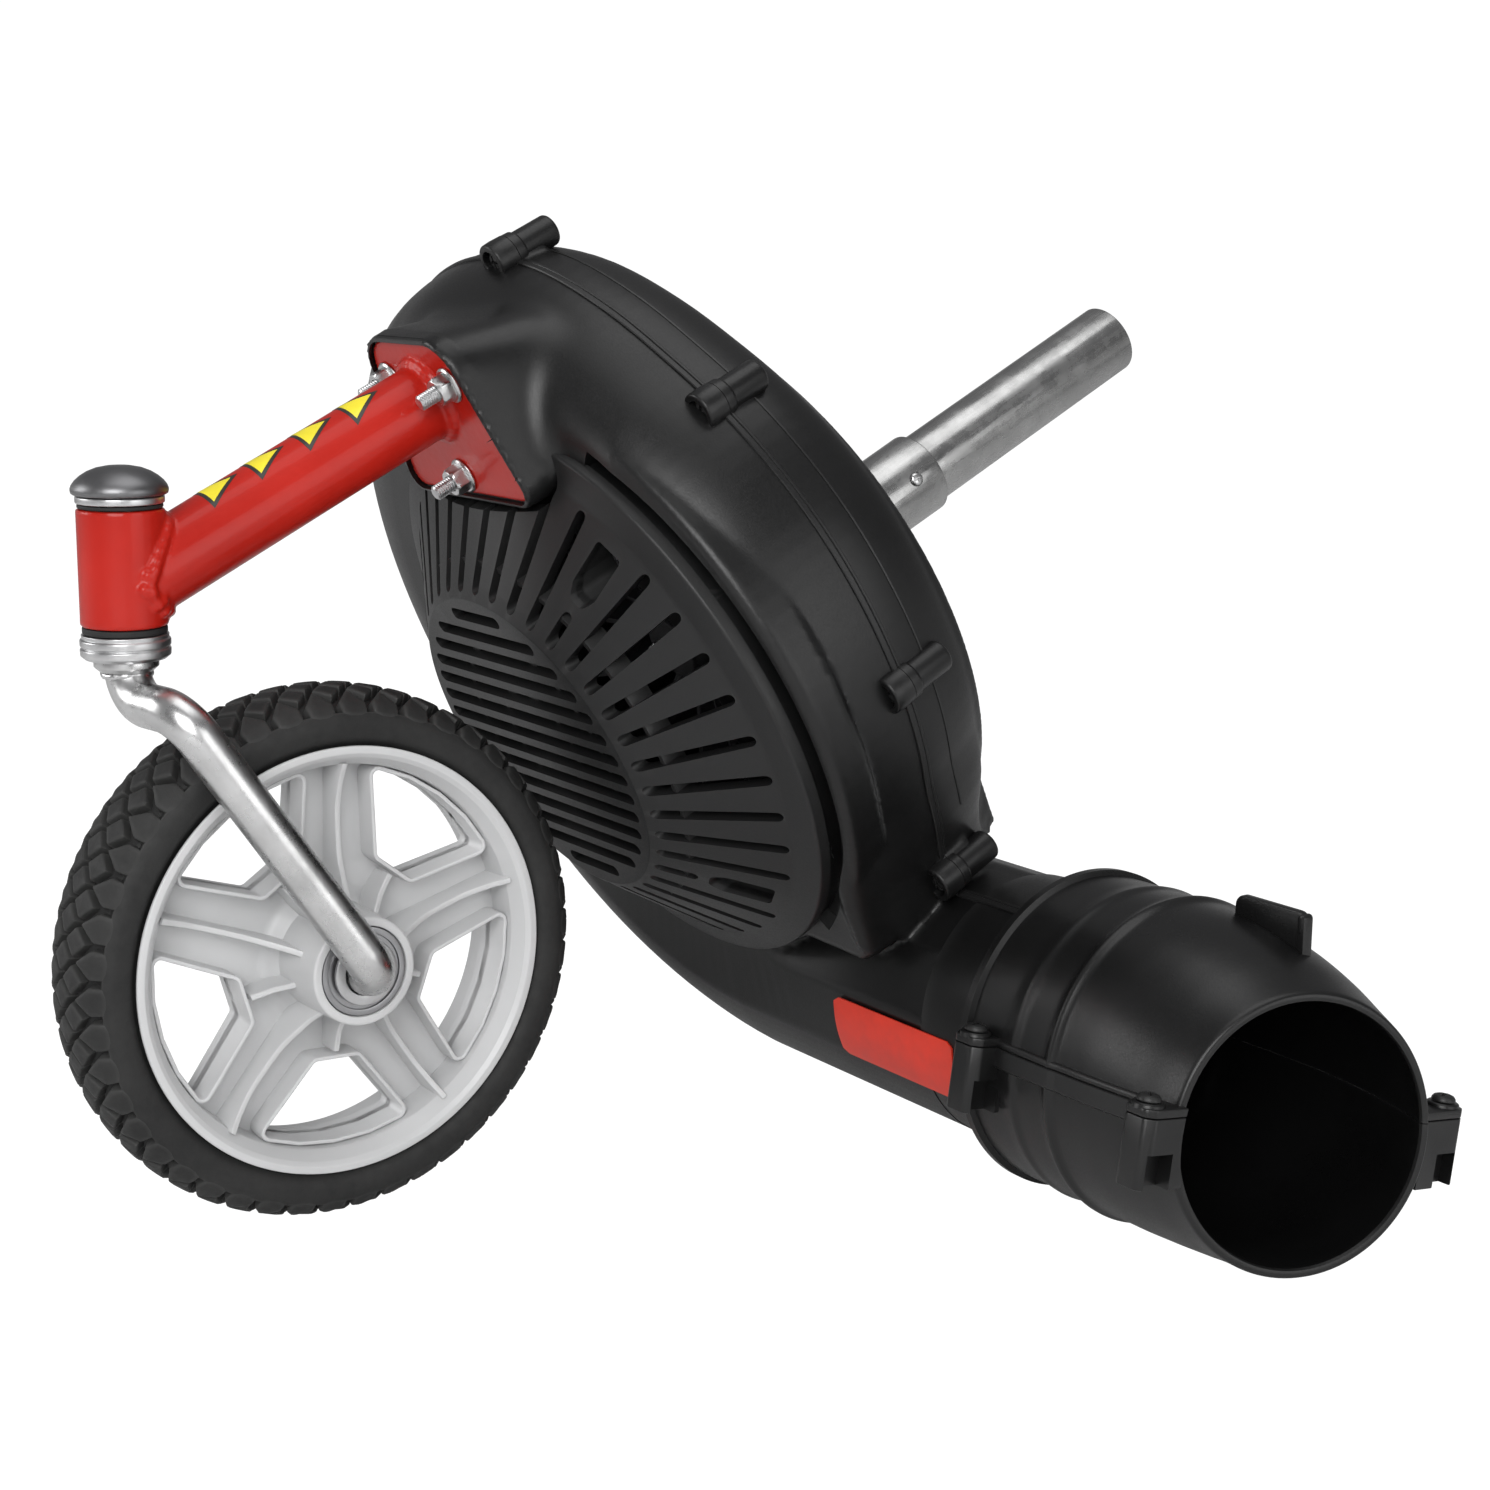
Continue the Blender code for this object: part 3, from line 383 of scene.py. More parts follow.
def ramp(nt, fac, stops):
    r = nt.nodes.new('ShaderNodeValToRGB')
    e = r.color_ramp.elements
    e[0].position, e[0].color = stops[0][0], (*stops[0][1], 1)
    e[1].position, e[1].color = stops[-1][0], (*stops[-1][1], 1)
    for p, c in stops[1:-1]:
        q = e.new(p)
        q.color = (*c, 1)
    nt.links.new(fac, r.inputs['Fac'])
    return r.outputs['Color']


def mrange(nt, fac, a, b, lo=0.3, hi=0.7):
    r = nt.nodes.new('ShaderNodeMapRange')
    r.inputs['From Min'].default_value, r.inputs['From Max'].default_value = lo, hi
    r.inputs['To Min'].default_value, r.inputs['To Max'].default_value = a, b
    nt.links.new(fac, r.inputs['Value'])
    return r.outputs['Result']


def bumps(nt, b, layers):
    """layers: (height socket, strength, distance in metres)."""
    last = None
    for h, s, d in layers:
        n = nt.nodes.new('ShaderNodeBump')
        n.inputs['Strength'].default_value = s
        n.inputs['Distance'].default_value = d
        nt.links.new(h, n.inputs['Height'])
        if last is not None:
            nt.links.new(last, n.inputs['Normal'])
        last = n.outputs['Normal']
    nt.links.new(last, b.inputs['Normal'])


def edge_mix(nt, b, col, light, amount, lo=0.52, hi=0.62):
    """Lighten worn convex edges."""
    g = nt.nodes.new('ShaderNodeNewGeometry')
    f = mrange(nt, g.outputs['Pointiness'], 0.0, amount, lo, hi)
    mx = nt.nodes.new('ShaderNodeMix')
    mx.data_type = 'RGBA'
    nt.links.new(f, mx.inputs['Factor'])
    nt.links.new(col, mx.inputs['A'])
    mx.inputs['B'].default_value = (*light, 1)
    nt.links.new(mx.outputs['Result'], b.inputs['Base Color'])


def plastic(name, rgb, rough, grain=1400.0, strength=0.25, var=0.25, edge=None, spec=0.4):
    m, nt, b, tc = mat_base(name, rgb, 0.0, rough, spec=spec)
    o = tc.outputs['Object']
    big = nz(nt, o, 14.0, 4.0)
    fine = nz(nt, o, grain, 2.0)
    col = ramp(nt, big, [(0.3, tuple(c * (1 - var) for c in rgb)), (0.7, tuple(c * (1 + var) for c in rgb))])
    if edge:
        edge_mix(nt, b, col, edge, 0.6)
    else:
        nt.links.new(col, b.inputs['Base Color'])
    mix = nt.nodes.new('ShaderNodeMath')
    mix.operation = 'ADD'
    nt.links.new(mrange(nt, fine, -0.05, 0.05), mix.inputs[0])
    nt.links.new(mrange(nt, big, rough - 0.04, rough + 0.05), mix.inputs[1])
    nt.links.new(mix.outputs[0], b.inputs['Roughness'])
    bumps(nt, b, [(fine, strength, 0.00012), (nz(nt, o, 55.0, 2.0), 0.06, 0.0006)])
    return m


M_BLACK = plastic('black_moulded', (0.0040, 0.0040, 0.0041), 0.37, 1300.0, 0.25, 0.22, (0.02, 0.02, 0.02), 0.42)
M_GRILLE = plastic('grille_moulded', (0.0085, 0.0085, 0.0087), 0.42, 1300.0, 0.28, 0.2, (0.025, 0.025, 0.025), 0.42)
M_NOZ = plastic('nozzle_moulded', (0.0045, 0.0045, 0.0046), 0.34, 1500.0, 0.2, 0.2, (0.02, 0.02, 0.02), 0.4)
M_RIM = plastic('rim_moulded', (0.56, 0.563, 0.567), 0.36, 1700.0, 0.15, 0.03, None, 0.5)
M_NYLON = plastic('nylon_moulded', (0.03, 0.03, 0.032), 0.5, 1100.0, 0.3, 0.2)
M_SEAL = plastic('seal_rubber', (0.012, 0.012, 0.012), 0.65, 1500.0, 0.4, 0.2)


def rubber():
    m, nt, b, tc = mat_base('tyre_rubber', (0.018, 0.018, 0.018), 0.0, 0.6, spec=0.35)
    o = tc.outputs['Object']
    big = nz(nt, o, 30.0, 5.0)
    fine = nz(nt, o, 900.0, 3.0)
    col = ramp(nt, big, [(0.32, (0.013, 0.013, 0.013)), (0.7, (0.022, 0.022, 0.0215))])
    edge_mix(nt, b, col, (0.07, 0.07, 0.068), 0.6)
    nt.links.new(mrange(nt, nz(nt, o, 220.0, 3.0), 0.58, 0.76), b.inputs['Roughness'])
    bumps(nt, b, [(fine, 0.45, 0.0002), (nz(nt, o, 120.0, 3.0), 0.1, 0.0006)])
    return m


def zinc(name, rgb, r0, r1, mott=160.0, bstr=0.12, aniso=None):
    """Plated steel: mottled gloss, faint pits; aniso (matrix rows) stretches scratches along an axis."""
    m, nt, b, tc = mat_base(name, rgb, 1.0, r0)
    o = tc.outputs['Object']
    big = nz(nt, o, mott, 4.0, 0.65)
    col = ramp(nt, nz(nt, o, mott * 0.4, 4.0), [(0.3, tuple(c * 0.82 for c in rgb)), (0.7, tuple(min(1.0, c * 1.08) for c in rgb))])
    nt.links.new(col, b.inputs['Base Color'])
    if aniso is not None:
        mp = nt.nodes.new('ShaderNodeMapping')
        mp.vector_type = 'TEXTURE'
        mp.inputs['Rotation'].default_value = aniso[0]
        mp.inputs['Scale'].default_value = aniso[1]
        nt.links.new(o, mp.inputs['Vector'])
        scr = nz(nt, mp.outputs['Vector'], 500.0, 3.0, 0.6)
        mix = nt.nodes.new('ShaderNodeMath')
        mix.operation = 'ADD'
        nt.links.new(mrange(nt, scr, -0.06, 0.08), mix.inputs[0])
        nt.links.new(mrange(nt, big, r0, r1), mix.inputs[1])
        nt.links.new(mix.outputs[0], b.inputs['Roughness'])
        bumps(nt, b, [(scr, 0.10, 0.0002), (big, bstr * 0.5, 0.0004)])
    else:
        nt.links.new(mrange(nt, big, r0, r1), b.inputs['Roughness'])
        bumps(nt, b, [(big, bstr, 0.0004), (nz(nt, o, mott * 5, 2.0), bstr * 0.6, 0.0002)])
    return m


def red_paint():
    m, nt, b, tc = mat_base('red_powder_coat', (0.42, 0.012, 0.006), 0.0, 0.34, coat=0.2, coat_rough=0.07, spec=0.2)
    o = tc.outputs['Object']
    peel = nz(nt, o, 260.0, 2.0, 0.4)
    big = nz(nt, o, 22.0, 3.0)
    col = ramp(nt, big, [(0.3, (0.36, 0.010, 0.005)), (0.7, (0.45, 0.014, 0.007))])
    nt.links.new(col, b.inputs['Base Color'])
    nt.links.new(mrange(nt, big, 0.28, 0.42), b.inputs['Roughness'])
    bumps(nt, b, [(peel, 0.16, 0.0006), (nz(nt, o, 1500.0, 2.0), 0.08, 0.0001)])
    return m


def simple(name, rgb, metallic, rough, scale=600.0, strength=0.15, coat=0.0):
    m, nt, b, tc = mat_base(name, rgb, metallic, rough, coat=coat)
    o = tc.outputs['Object']
    f = nz(nt, o, scale, 2.0)
    g = nz(nt, o, scale * 0.1, 3.0)
    col = ramp(nt, g, [(0.3, tuple(c * 0.9 for c in rgb)), (0.7, tuple(min(1.0, c * 1.08) for c in rgb))])
    nt.links.new(col, b.inputs['Base Color'])
    nt.links.new(mrange(nt, g, max(0.05, rough - 0.06), rough + 0.06), b.inputs['Roughness'])
    bumps(nt, b, [(f, strength, 0.0001)])
    return m


M_TYRE = rubber()
M_ZINC = zinc('zinc_plate', (0.60, 0.60, 0.60), 0.22, 0.38, 150.0, 0.075)
M_ZINC_SOFT = zinc('zinc_satin', (0.58, 0.58, 0.585), 0.28, 0.40, 260.0, 0.02)
M_TUBE = zinc('galvanised_tube', (0.44, 0.44, 0.436), 0.17, 0.34, 120.0, 0.05,
              ((TH, 0.0, 0.0), (1.0, 12.0, 1.0)))
M_CAP = simple('cap_pressed', (0.20, 0.20, 0.205), 1.0, 0.40, 700.0, 0.05)
M_STEEL = simple('dark_steel', (0.35, 0.35, 0.36), 1.0, 0.34, 900.0, 0.2)
M_BLACK_SCREW = simple('blackened_screw', (0.03, 0.03, 0.03), 0.6, 0.42, 900.0, 0.2)
M_RED = red_paint()
M_LABEL = simple('label_film', (0.72, 0.035, 0.014), 0.0, 0.34, 900.0, 0.03, coat=0.1)
M_YEL = simple('decal_yellow', (0.85, 0.72, 0.03), 0.0, 0.35, 900.0, 0.04, coat=0.2)
M_INK = simple('decal_black', (0.02, 0.02, 0.016), 0.0, 0.4, 900.0, 0.04, coat=0.2)
M_ALLOY = simple('cast_alloy', (0.5, 0.5, 0.51), 1.0, 0.45, 500.0, 0.5)

# ------------------------------------------------------------------ caster wheel: tyre
NT = 46                       # tread cells round the tyre
crown = pchip([0, 6.3, 12.6, 17.5, 20.2, 21.7, 22.0], [101.6, 101.3, 99.9, 97.0, 93.8, 90.6, 88.0])
# arc length table along the full-height outline, from the crown line towards one sidewall
tab = []
s = 0.0
px_, pr_ = 0.0, crown(0.0)
for i in range(401):
    x = 22.0 * math.sin(PI / 2 * i / 400)
    r = crown(x)
    s += math.hypot(x - px_, r - pr_)
    tab.append((s, x, r))
    px_, pr_ = x, r
S_END = tab[-1][0]
S_A = np.array([t[0] for t in tab])
X_A = np.array([t[1] for t in tab])
R_A = np.array([t[2] for t in tab])


def tread(sv, deg, drop=0.0):
    """Point on the tyre at signed arc length sv, angle (rad), sunk by drop along the surface normal."""
    a = min(abs(sv), S_END - 1e-3)
    x, r = float(np.interp(a, S_A, X_A)), float(np.interp(a, S_A, R_A))
    x2, r2 = float(np.interp(a + 0.05, S_A, X_A)), float(np.interp(a + 0.05, S_A, R_A))
    x1, r1 = float(np.interp(max(a - 0.05, 0), S_A, X_A)), float(np.interp(max(a - 0.05, 0), S_A, R_A))
    dx, dr = x2 - x1, r2 - r1
    L = math.hypot(dx, dr) or 1.0
    nx, nr = -dr / L, dx / L
    if a < 0.05:
        nx, nr = 0.0, 1.0
    x, r = x - nx * drop, r - nr * drop
    x = math.copysign(x, sv) if sv else 0.0
    return Vector((x, r * math.cos(deg), r * math.sin(deg)))


def block(poly, rise_base=4.0, inset=0.75):
    """Raised tread block over a polygon of (arc length, circumferential mm)."""
    n = len(poly)
    c = (sum(p[0] for p in poly) / n, sum(p[1] for p in poly) / n)

    def ringp(shrink, drop):
        out = []
        for p in poly:
            d = math.hypot(p[0] - c[0], p[1] - c[1])
            k = max(0.1, (d - shrink) / d)
            out.append(tread(c[0] + (p[0] - c[0]) * k, (c[1] + (p[1] - c[1]) * k) / WHEEL_R, drop))
        return out
    rows = [ringp(-0.45, rise_base), ringp(0.0, 0.95), ringp(inset * 0.35, 0.3), ringp(inset, 0.0), ringp(inset + 1.6, -0.06)]
    V = [v for r_ in rows for v in r_]
    V.append(tread(c[0], c[1] / WHEEL_R, -0.08))
    F = [list(range(n))]
    for k in range(len(rows) - 1):
        for i in range(n):
            j = (i + 1) % n
            F.append([k * n + i, k * n + j, (k + 1) * n + j, (k + 1) * n + i])
    base = (len(rows) - 1) * n
    for i in range(n):
        F.append([base + i, base + (i + 1) % n, len(V) - 1])
    return V, F


L_T = 2 * PI * WHEEL_R / NT
V_all, F_all = [], []


def put(V, F):
    k = len(V_all)
    V_all.extend(V)
    F_all.extend([[k + i for i in f] for f in F])


def dia(sc, uc, hs, hu):
    """Diamond with softened corners."""
    o = []
    for a, b in ((1, 0), (0, 1), (-1, 0), (0, -1)):
        t = 0.15
        if a:
            o += [(sc + a * hs * (1 - t), uc - a * hu * t), (sc + a * hs * (1 - t * 0.25), uc), (sc + a * hs * (1 - t), uc + a * hu * t)]
        else:
            o += [(sc + b * hs * t, uc + b * hu * (1 - t)), (sc, uc + b * hu * (1 - t * 0.25)), (sc - b * hs * t, uc + b * hu * (1 - t))]
    return o


PS = 8.5
HD = L_T / 2
for k in range(NT):
    for j in (-1, 0, 1):
        uc = (k + (0.5 if j % 2 else 0.0)) * L_T
        put(*block(dia(j * PS, uc, PS * 0.73, HD * 0.80), 4.6, 0.8))
    for sd in (-1, 1):
        uc = k * L_T
        hw = HD - 1.3
        a0 = PS * 1.27
        a1 = a0 + hw / HD * PS
        poly = [(a0, uc), (a0 + 1.2, uc + 1.2 * HD / PS), (a1 - 0.9, uc + hw - 0.75), (a1 + 0.4, uc + hw), (a1 + 3.6, uc + hw - 0.1),
                (23.4, uc + hw - 0.2), (24.6, uc + 2.4), (24.7, uc), (24.6, uc - 2.4), (23.4, uc - hw + 0.2), (a1 + 3.6, uc - hw + 0.1),
                (a1 + 0.4, uc - hw), (a1 - 0.9, uc - hw + 0.75), (a0 + 1.2, uc - 1.2 * HD / PS)]
        put(*block([(sd * a, b) for a, b in poly], 4.8, 0.7))
tread_ob = new_obj('tread', [WM @ v for v in V_all], F_all)
# carcass: groove floor between the blocks, full height from the shoulder slits down
prof = []
fl = []
for i in range(0, 89):
    sv = -1 + i / 44.0
    a = abs(sv) * 27.0
    drop = 4.2 if a < 21.2 else 4.2 * max(0.0, 1 - (a - 21.2) / 1.3)
    p = tread(math.copysign(min(a, S_END), sv), 0.0, drop + 0.02)
    fl.append((p.y, p.x))
side = [(r, x) for r, x in ((87.0, 21.9), (84.6, 21.2), (82.6, 19.8), (81.9, 18.6), (79.5, 17.6), (77.0, 16.2))]
fl = [q for q in fl if q[0] > 88.4 or abs(q[1]) < 21]
prof = [(r, -x) for r, x in reversed(side)] + fl + side
carc = lathe('carcass', prof, 220, WM, 'X')
tyre = join('tyre_j', [carc, tread_ob])
final(tyre, 'tyre_treaded', M_TYRE, 'wheel', ('tyre',), 40)

# ------------------------------------------------------------------ caster wheel: rim
hubp = rnd([(16.9, -24.0, 0.3), (20.4, -24.0, 1.0), (21.4, 2.0), (21.2, 20.0), (20.4, 36.0, 1.1), (17.1, 36.0, 0.5), (17.1, 27.2),
            (14.0, 27.0), (14.0, -14.8), (16.9, -15.0)], 4)
barrel = rnd([(73.2, 1.0), (73.6, -16.0, 2.0), (77.6, -21.6, 1.0), (81.4, -21.6, 0.7), (81.4, -20.4, 0.3), (76.0, -15.6, 1.5), (76.0, 15.6, 1.5),
              (81.4, 20.4, 0.3), (81.4, 21.6, 0.7), (78.6, 21.6, 0.8), (76.9, 20.2, 0.8), (73.6, 15.0, 2.0), (72.6, 4.0)], 4)
web = rnd([(20.8, -0.6), (74.0, -0.6), (74.0, 2.6), (26.0, 3.4, 6.0), (20.8, 9.0)], 5)
hub = lathe('hub', hubp, 120, WM, 'X')
bar = lathe('barrel', barrel, 200, WM, 'X')
webo = lathe('web', web, 200, WM, 'X')
SPOKE_PHASE = math.radians(34)
W_OUT = [(-8.8, 39.4, 2.5), (-30.0, 65.4, 2.2), (-14.4, 69.9), (0, 71.2), (14.4, 69.9), (30.0, 65.4, 2.2), (8.8, 39.4, 2.5)]


def offset(poly, d):
    n = len(poly)
    out = []
    area = sum(poly[i - 1][0] * poly[i][1] - poly[i][0] * poly[i - 1][1] for i in range(n))
    sg = 1.0 if area > 0 else -1.0
    for i in range(n):
        a, b, c = Vector(poly[i - 1]), Vector(poly[i]), Vector(poly[(i + 1) % n])
        n1 = Vector(((b - a).y, -(b - a).x)).normalized() * sg
        n2 = Vector(((c - b).y, -(c - b).x)).normalized() * sg
        v = (n1 + n2).normalized()
        k = 1.0 / max(0.45, v.dot(n1))
        out.append((b.x + v.x * d * k, b.y + v.y * d * k))
    return out


win_in = rnd(W_OUT, 6)
wins, walls, ribs = [], [], []
f_rib = pchip([20.0, 24.0, 30.0, 41.0, 56.0, 67.0, 74.2], [26.4, 22.6, 18.8, 13.9, 12.6, 15.0, 18.6])
for k in range(5):
    M = WM @ Matrix.Rotation(2 * PI * k / 5 + SPOKE_PHASE, 4, 'X')
    wins.append(prism('w', win_in, -20, 30, M, 'YZ'))
    w0, w1 = win_in, offset(win_in, 1.7)
    # wall profile: rises from behind the web to a rounded lip
    secs = []
    nsec = len(w0)
    for i in range(nsec):
        p, q = Vector(w0[i]), Vector(w1[i])
        rr = p.length
        top = 13.0 + 1.6 * max(0.0, min(1.0, (46.0 - rr) / 8.0))
        bot = -5.0
        d = q - p
        cs = [(bot, 0.0), (top - 0.7, 0.0), (top - 0.2, 0.12), (top, 0.36), (top, 0.64), (top - 0.2, 0.88), (top - 0.7, 1.0), (bot, 1.0)]
        secs.append([(h, p.x + d.x * t, p.y + d.y * t) for h, t in cs])
    walls.append(loft('wall', secs, M, closed=True))
    # short rib from the hub to the window's inner point
    a = [(1.5, -1.1, 20.0), (20.6, -1.1, 20.0), (21.2, -0.6, 20.0), (21.2, 0.6, 20.0), (20.6, 1.1, 20.0), (1.5, 1.1, 20.0)]
    m_ = [(1.5, -1.1, 28.0), (15.6, -1.1, 28.0), (16.2, -0.6, 28.0), (16.2, 0.6, 28.0), (15.6, 1.1, 28.0), (1.5, 1.1, 28.0)]
    b_ = [(1.5, -1.1, 36.4), (13.4, -1.1, 36.4), (14.0, -0.6, 36.4), (14.0, 0.6, 36.4), (13.4, 1.1, 36.4), (1.5, 1.1, 36.4)]
    ribs.append(loft('r', [a, m_, b_], M))
    # straight rib along each spoke, dipping between the hub and the rim lip
    M3 = WM @ Matrix.Rotation(2 * PI * (k + 0.5) / 5 + SPOKE_PHASE, 4, 'X')
    secs = []
    for i in range(29):
        t = i / 28.0
        rr = 20.0 + 54.4 * t
        top = f_rib(rr)
        w = 1.2
        secs.append([(1.5, -w - 0.25, rr), (top - 0.6, -w, rr), (top - 0.12, -w * 0.8, rr), (top, -w * 0.5, rr), (top, w * 0.5, rr), (top - 0.12, w * 0.8, rr),
                     (top - 0.6, w, rr), (1.5, w + 0.25, rr)])
    ribs.append(loft('R', secs, M3))
cut(webo, join('wins', wins))
rim = join('rim_j', [hub, bar, webo] + walls + ribs)
final(rim, 'rim_five_spoke', M_RIM, 'wheel', ('wheel_rim',), 38)

for nm, x0, sg in (('wheel_bearing_near', 27.4, 1), ('wheel_bearing_far', -23.6, -1)):
    # bearing rings with a recessed shield between them
    if sg > 0:
        pr = [(8.4, x0 + 8.0, 0.3), (10.9, x0 + 8.0, 0.4), (10.9, x0 + 7.2), (14.3, x0 + 7.2), (14.3, x0 + 8.0, 0.4), (16.8, x0 + 8.0, 0.4),
              (16.8, x0), (8.4, x0)]
    else:
        pr = [(8.4, x0, 0.3), (10.9, x0, 0.4), (10.9, x0 + 0.8), (14.3, x0 + 0.8), (14.3, x0, 0.4), (16.8, x0, 0.4), (16.8, x0 + 8), (8.4, x0 + 8)]
    ob = lathe(nm + '_v', rnd(pr, 3), 72, WM, 'X')
    final(ob, nm + '_ring', M_STEEL, 'wheel', (nm,), 30)
ob = lathe('wn', rnd([(8.5, 36.1), (12.4, 36.1, 0.3), (12.4, 37.7, 0.6), (8.5, 37.7, 0.3)], 3), 64, WM, 'X')
final(ob, 'axle_washer_near_v', M_ZINC_SOFT, 'caster', ('axle_washer_near',), 30)
ob = lathe('wf', rnd([(8.5, -25.9, 0.3), (12.4, -25.9, 0.6), (12.4, -24.3, 0.3), (8.5, -24.3)], 3), 64, WM, 'X')
final(ob, 'axle_washer_far_v', M_ZINC_SOFT, 'caster', ('axle_washer_far',), 30)


def hexnut(name, af, h0, h1, bore, M, axis, ch=0.8, flange=0.0):
    """Chamfered hexagon nut between h0 and h1, optional flange at the h1 end."""
    R = af / math.sqrt(3)
    prof_n = 72
    zs = [h0, h0 + ch * 0.15, h0 + ch, (h0 + h1) / 2, h1 - (0.2 if flange else ch), h1 - (0.1 if flange else ch * 0.15), h1]
    verts, rows = [], []
    for zi, z in enumerate(zs):
        row = []
        for i in range(prof_n):
            t = 2 * PI * i / prof_n
            tt = (t + PI / 6) % (PI / 3) - PI / 6
            rh = (af / 2) / math.cos(tt)
            lim = af / 2 * 1.0
            if zi == 0:
                rr = min(rh, lim * 0.97)
            elif zi == 1:
                rr = min(rh, lim * 1.0)
            elif zi in (2, 3):
                rr = rh
            else:
                rr = rh if flange or zi == 4 else min(rh, lim * (1.0 if zi == 5 else 0.97))
            rr = min(rr, R * 0.985)
            verts.append(Vector((rr * math.cos(t), rr * math.sin(t), z)))
            row.append(len(verts) - 1)
        rows.append(row)
    for z in (h1, h0):
        row = []
        for i in range(prof_n):
            t = 2 * PI * i / prof_n
            verts.append(Vector((bore * math.cos(t), bore * math.sin(t), z)))
            row.append(len(verts) - 1)
        rows.append(row)
    faces = []
    for k in range(len(rows)):
        a, b = rows[k], rows[(k + 1) % len(rows)]
        for i in range(prof_n):
            j = (i + 1) % prof_n
            faces.append([a[i], a[j], b[j], b[i]])
    T = M @ AX[axis]
    ob = new_obj(name, [T @ v for v in verts], faces)
    if flange:
        fl_ = lathe('fl', rnd([(bore, h1 - 1.3), (flange - 0.7, h1 - 1.3, 0.3), (flange, h1 - 0.6, 0.3), (flange, h1, 0.2), (bore, h1)], 3), 60, M, axis)
        ob = join(name, [ob, fl_])
    return ob


ob = hexnut('an', 19.0, -32.2, -26.2, 6.4, WM, 'X', 1.1)
final(ob, 'axle_nut_v', M_ZINC, 'caster', ('axle_nut',), 28)

# ------------------------------------------------------------------ fork rod
pts = filleted([(0, HEAD_Y, 230.0, 0), (0, HEAD_Y, 204.0, 14.0), (34.0, HEAD_Y + 5.5, 204.0, 14.0),
                (51.5, WHEEL_Y, WHEEL_R, 12.0), (-24.2, WHEEL_Y, WHEEL_R, 0)], 22)
rod = sweep('rod', pts, 8.0, 56)
parts = [rod, cyl('stem', 8.0, 228.0, 281.0, 48, HM), cyl('tipz', 5.0, 280.0, 284.0, 32, HM, ch=0.5),
         cyl('tip', 6.0, -34.3, -22.0, 40, WM, 'X', 0.6)]
parts.append(lathe('fc', rnd([(0, 214.9), (9.4, 214.9, 0.4), (11.3, 216.6, 0.5), (11.3, 219.0, 0.3), (0, 219.0)], 3), 60, HM))
# fused weld bead where the rod meets its collar
bead = []
for i in range(72):
    t = 2 * PI * i / 72
    w = 1.15 + 0.12 * math.sin(t * 11) + 0.2 * noise.noise(Vector((math.cos(t) * 2.2, math.sin(t) * 2.2, 3.1)))
    bead.append([((8.4 + w * 0.75 * math.cos(q)) * math.cos(t), (8.4 + w * 0.75 * math.cos(q)) * math.sin(t),
                  213.9 + 0.5 * noise.noise(Vector((math.cos(t) * 1.3, math.sin(t) * 1.3, 9.0))) + w * math.sin(q))
                 for q in [2 * PI * z / 12 for z in range(12)]])
parts.append(loft('bead', bead, HM, closed=True))
fork = join('fork_j', parts)
final(fork, 'fork_rod', M_ZINC, 'caster', ('fork',), 40)

# ------------------------------------------------------------------ steering head stack
ob = lathe('lr', rnd([(8.5, 219.3), (14.0, 219.3, 0.6), (15.6, 220.6, 0.7), (15.7, 222.9, 0.6), (14.9, 223.5, 0.2), (15.7, 224.1, 0.6), (15.7, 226.2, 0.6),
                      (15.0, 226.7, 0.2), (15.2, 228.1, 0.3), (8.5, 228.1)], 4), 96, HM)
final(ob, 'lower_race_cup', M_ZINC_SOFT, 'caster', ('lower_race',), 30)
ob = lathe('ls', rnd([(12.2, 228.4), (14.7, 228.4, 0.5), (14.7, 230.7, 0.5), (12.2, 230.7)], 3), 96, HM)
final(ob, 'lower_seal_ring', M_SEAL, 'head', ('lower_seal',), 30)
ob = lathe('us', rnd([(12.2, 272.3), (14.7, 272.3, 0.4), (14.7, 273.6, 0.4), (12.2, 273.6)], 3), 96, HM)
final(ob, 'upper_seal_ring', M_SEAL, 'head', ('upper_seal',), 30)
ob = lathe('ur', rnd([(8.5, 273.9), (15.3, 273.9, 0.6), (15.3, 276.5, 0.6), (8.5, 276.5)], 4), 96, HM)
final(ob, 'upper_ring_v', M_ZINC_SOFT, 'caster', ('upper_ring',), 30)
capp = [(0, 284.6), (10.0, 284.3), (11.3, 282.8), (11.3, 276.9), (15.9, 276.9), (16.5, 277.3), (16.75, 278.2), (16.75, 279.0), (16.3, 280.2),
        (15.2, 281.7), (13.4, 283.3), (11.0, 284.8), (8.0, 286.0), (4.5, 286.7), (0, 286.9)]
ob = lathe('hc', capp, 96, HM)
final(ob, 'head_cap_dome', M_CAP, 'caster', ('head_cap',), 50)
ob = hexnut('sn', 15.4, 281.4, 283.6, 5.3, HM, 'Z', 0.4)
final(ob, 'stem_nut_v', M_ZINC, 'caster', ('stem_nut',), 28)

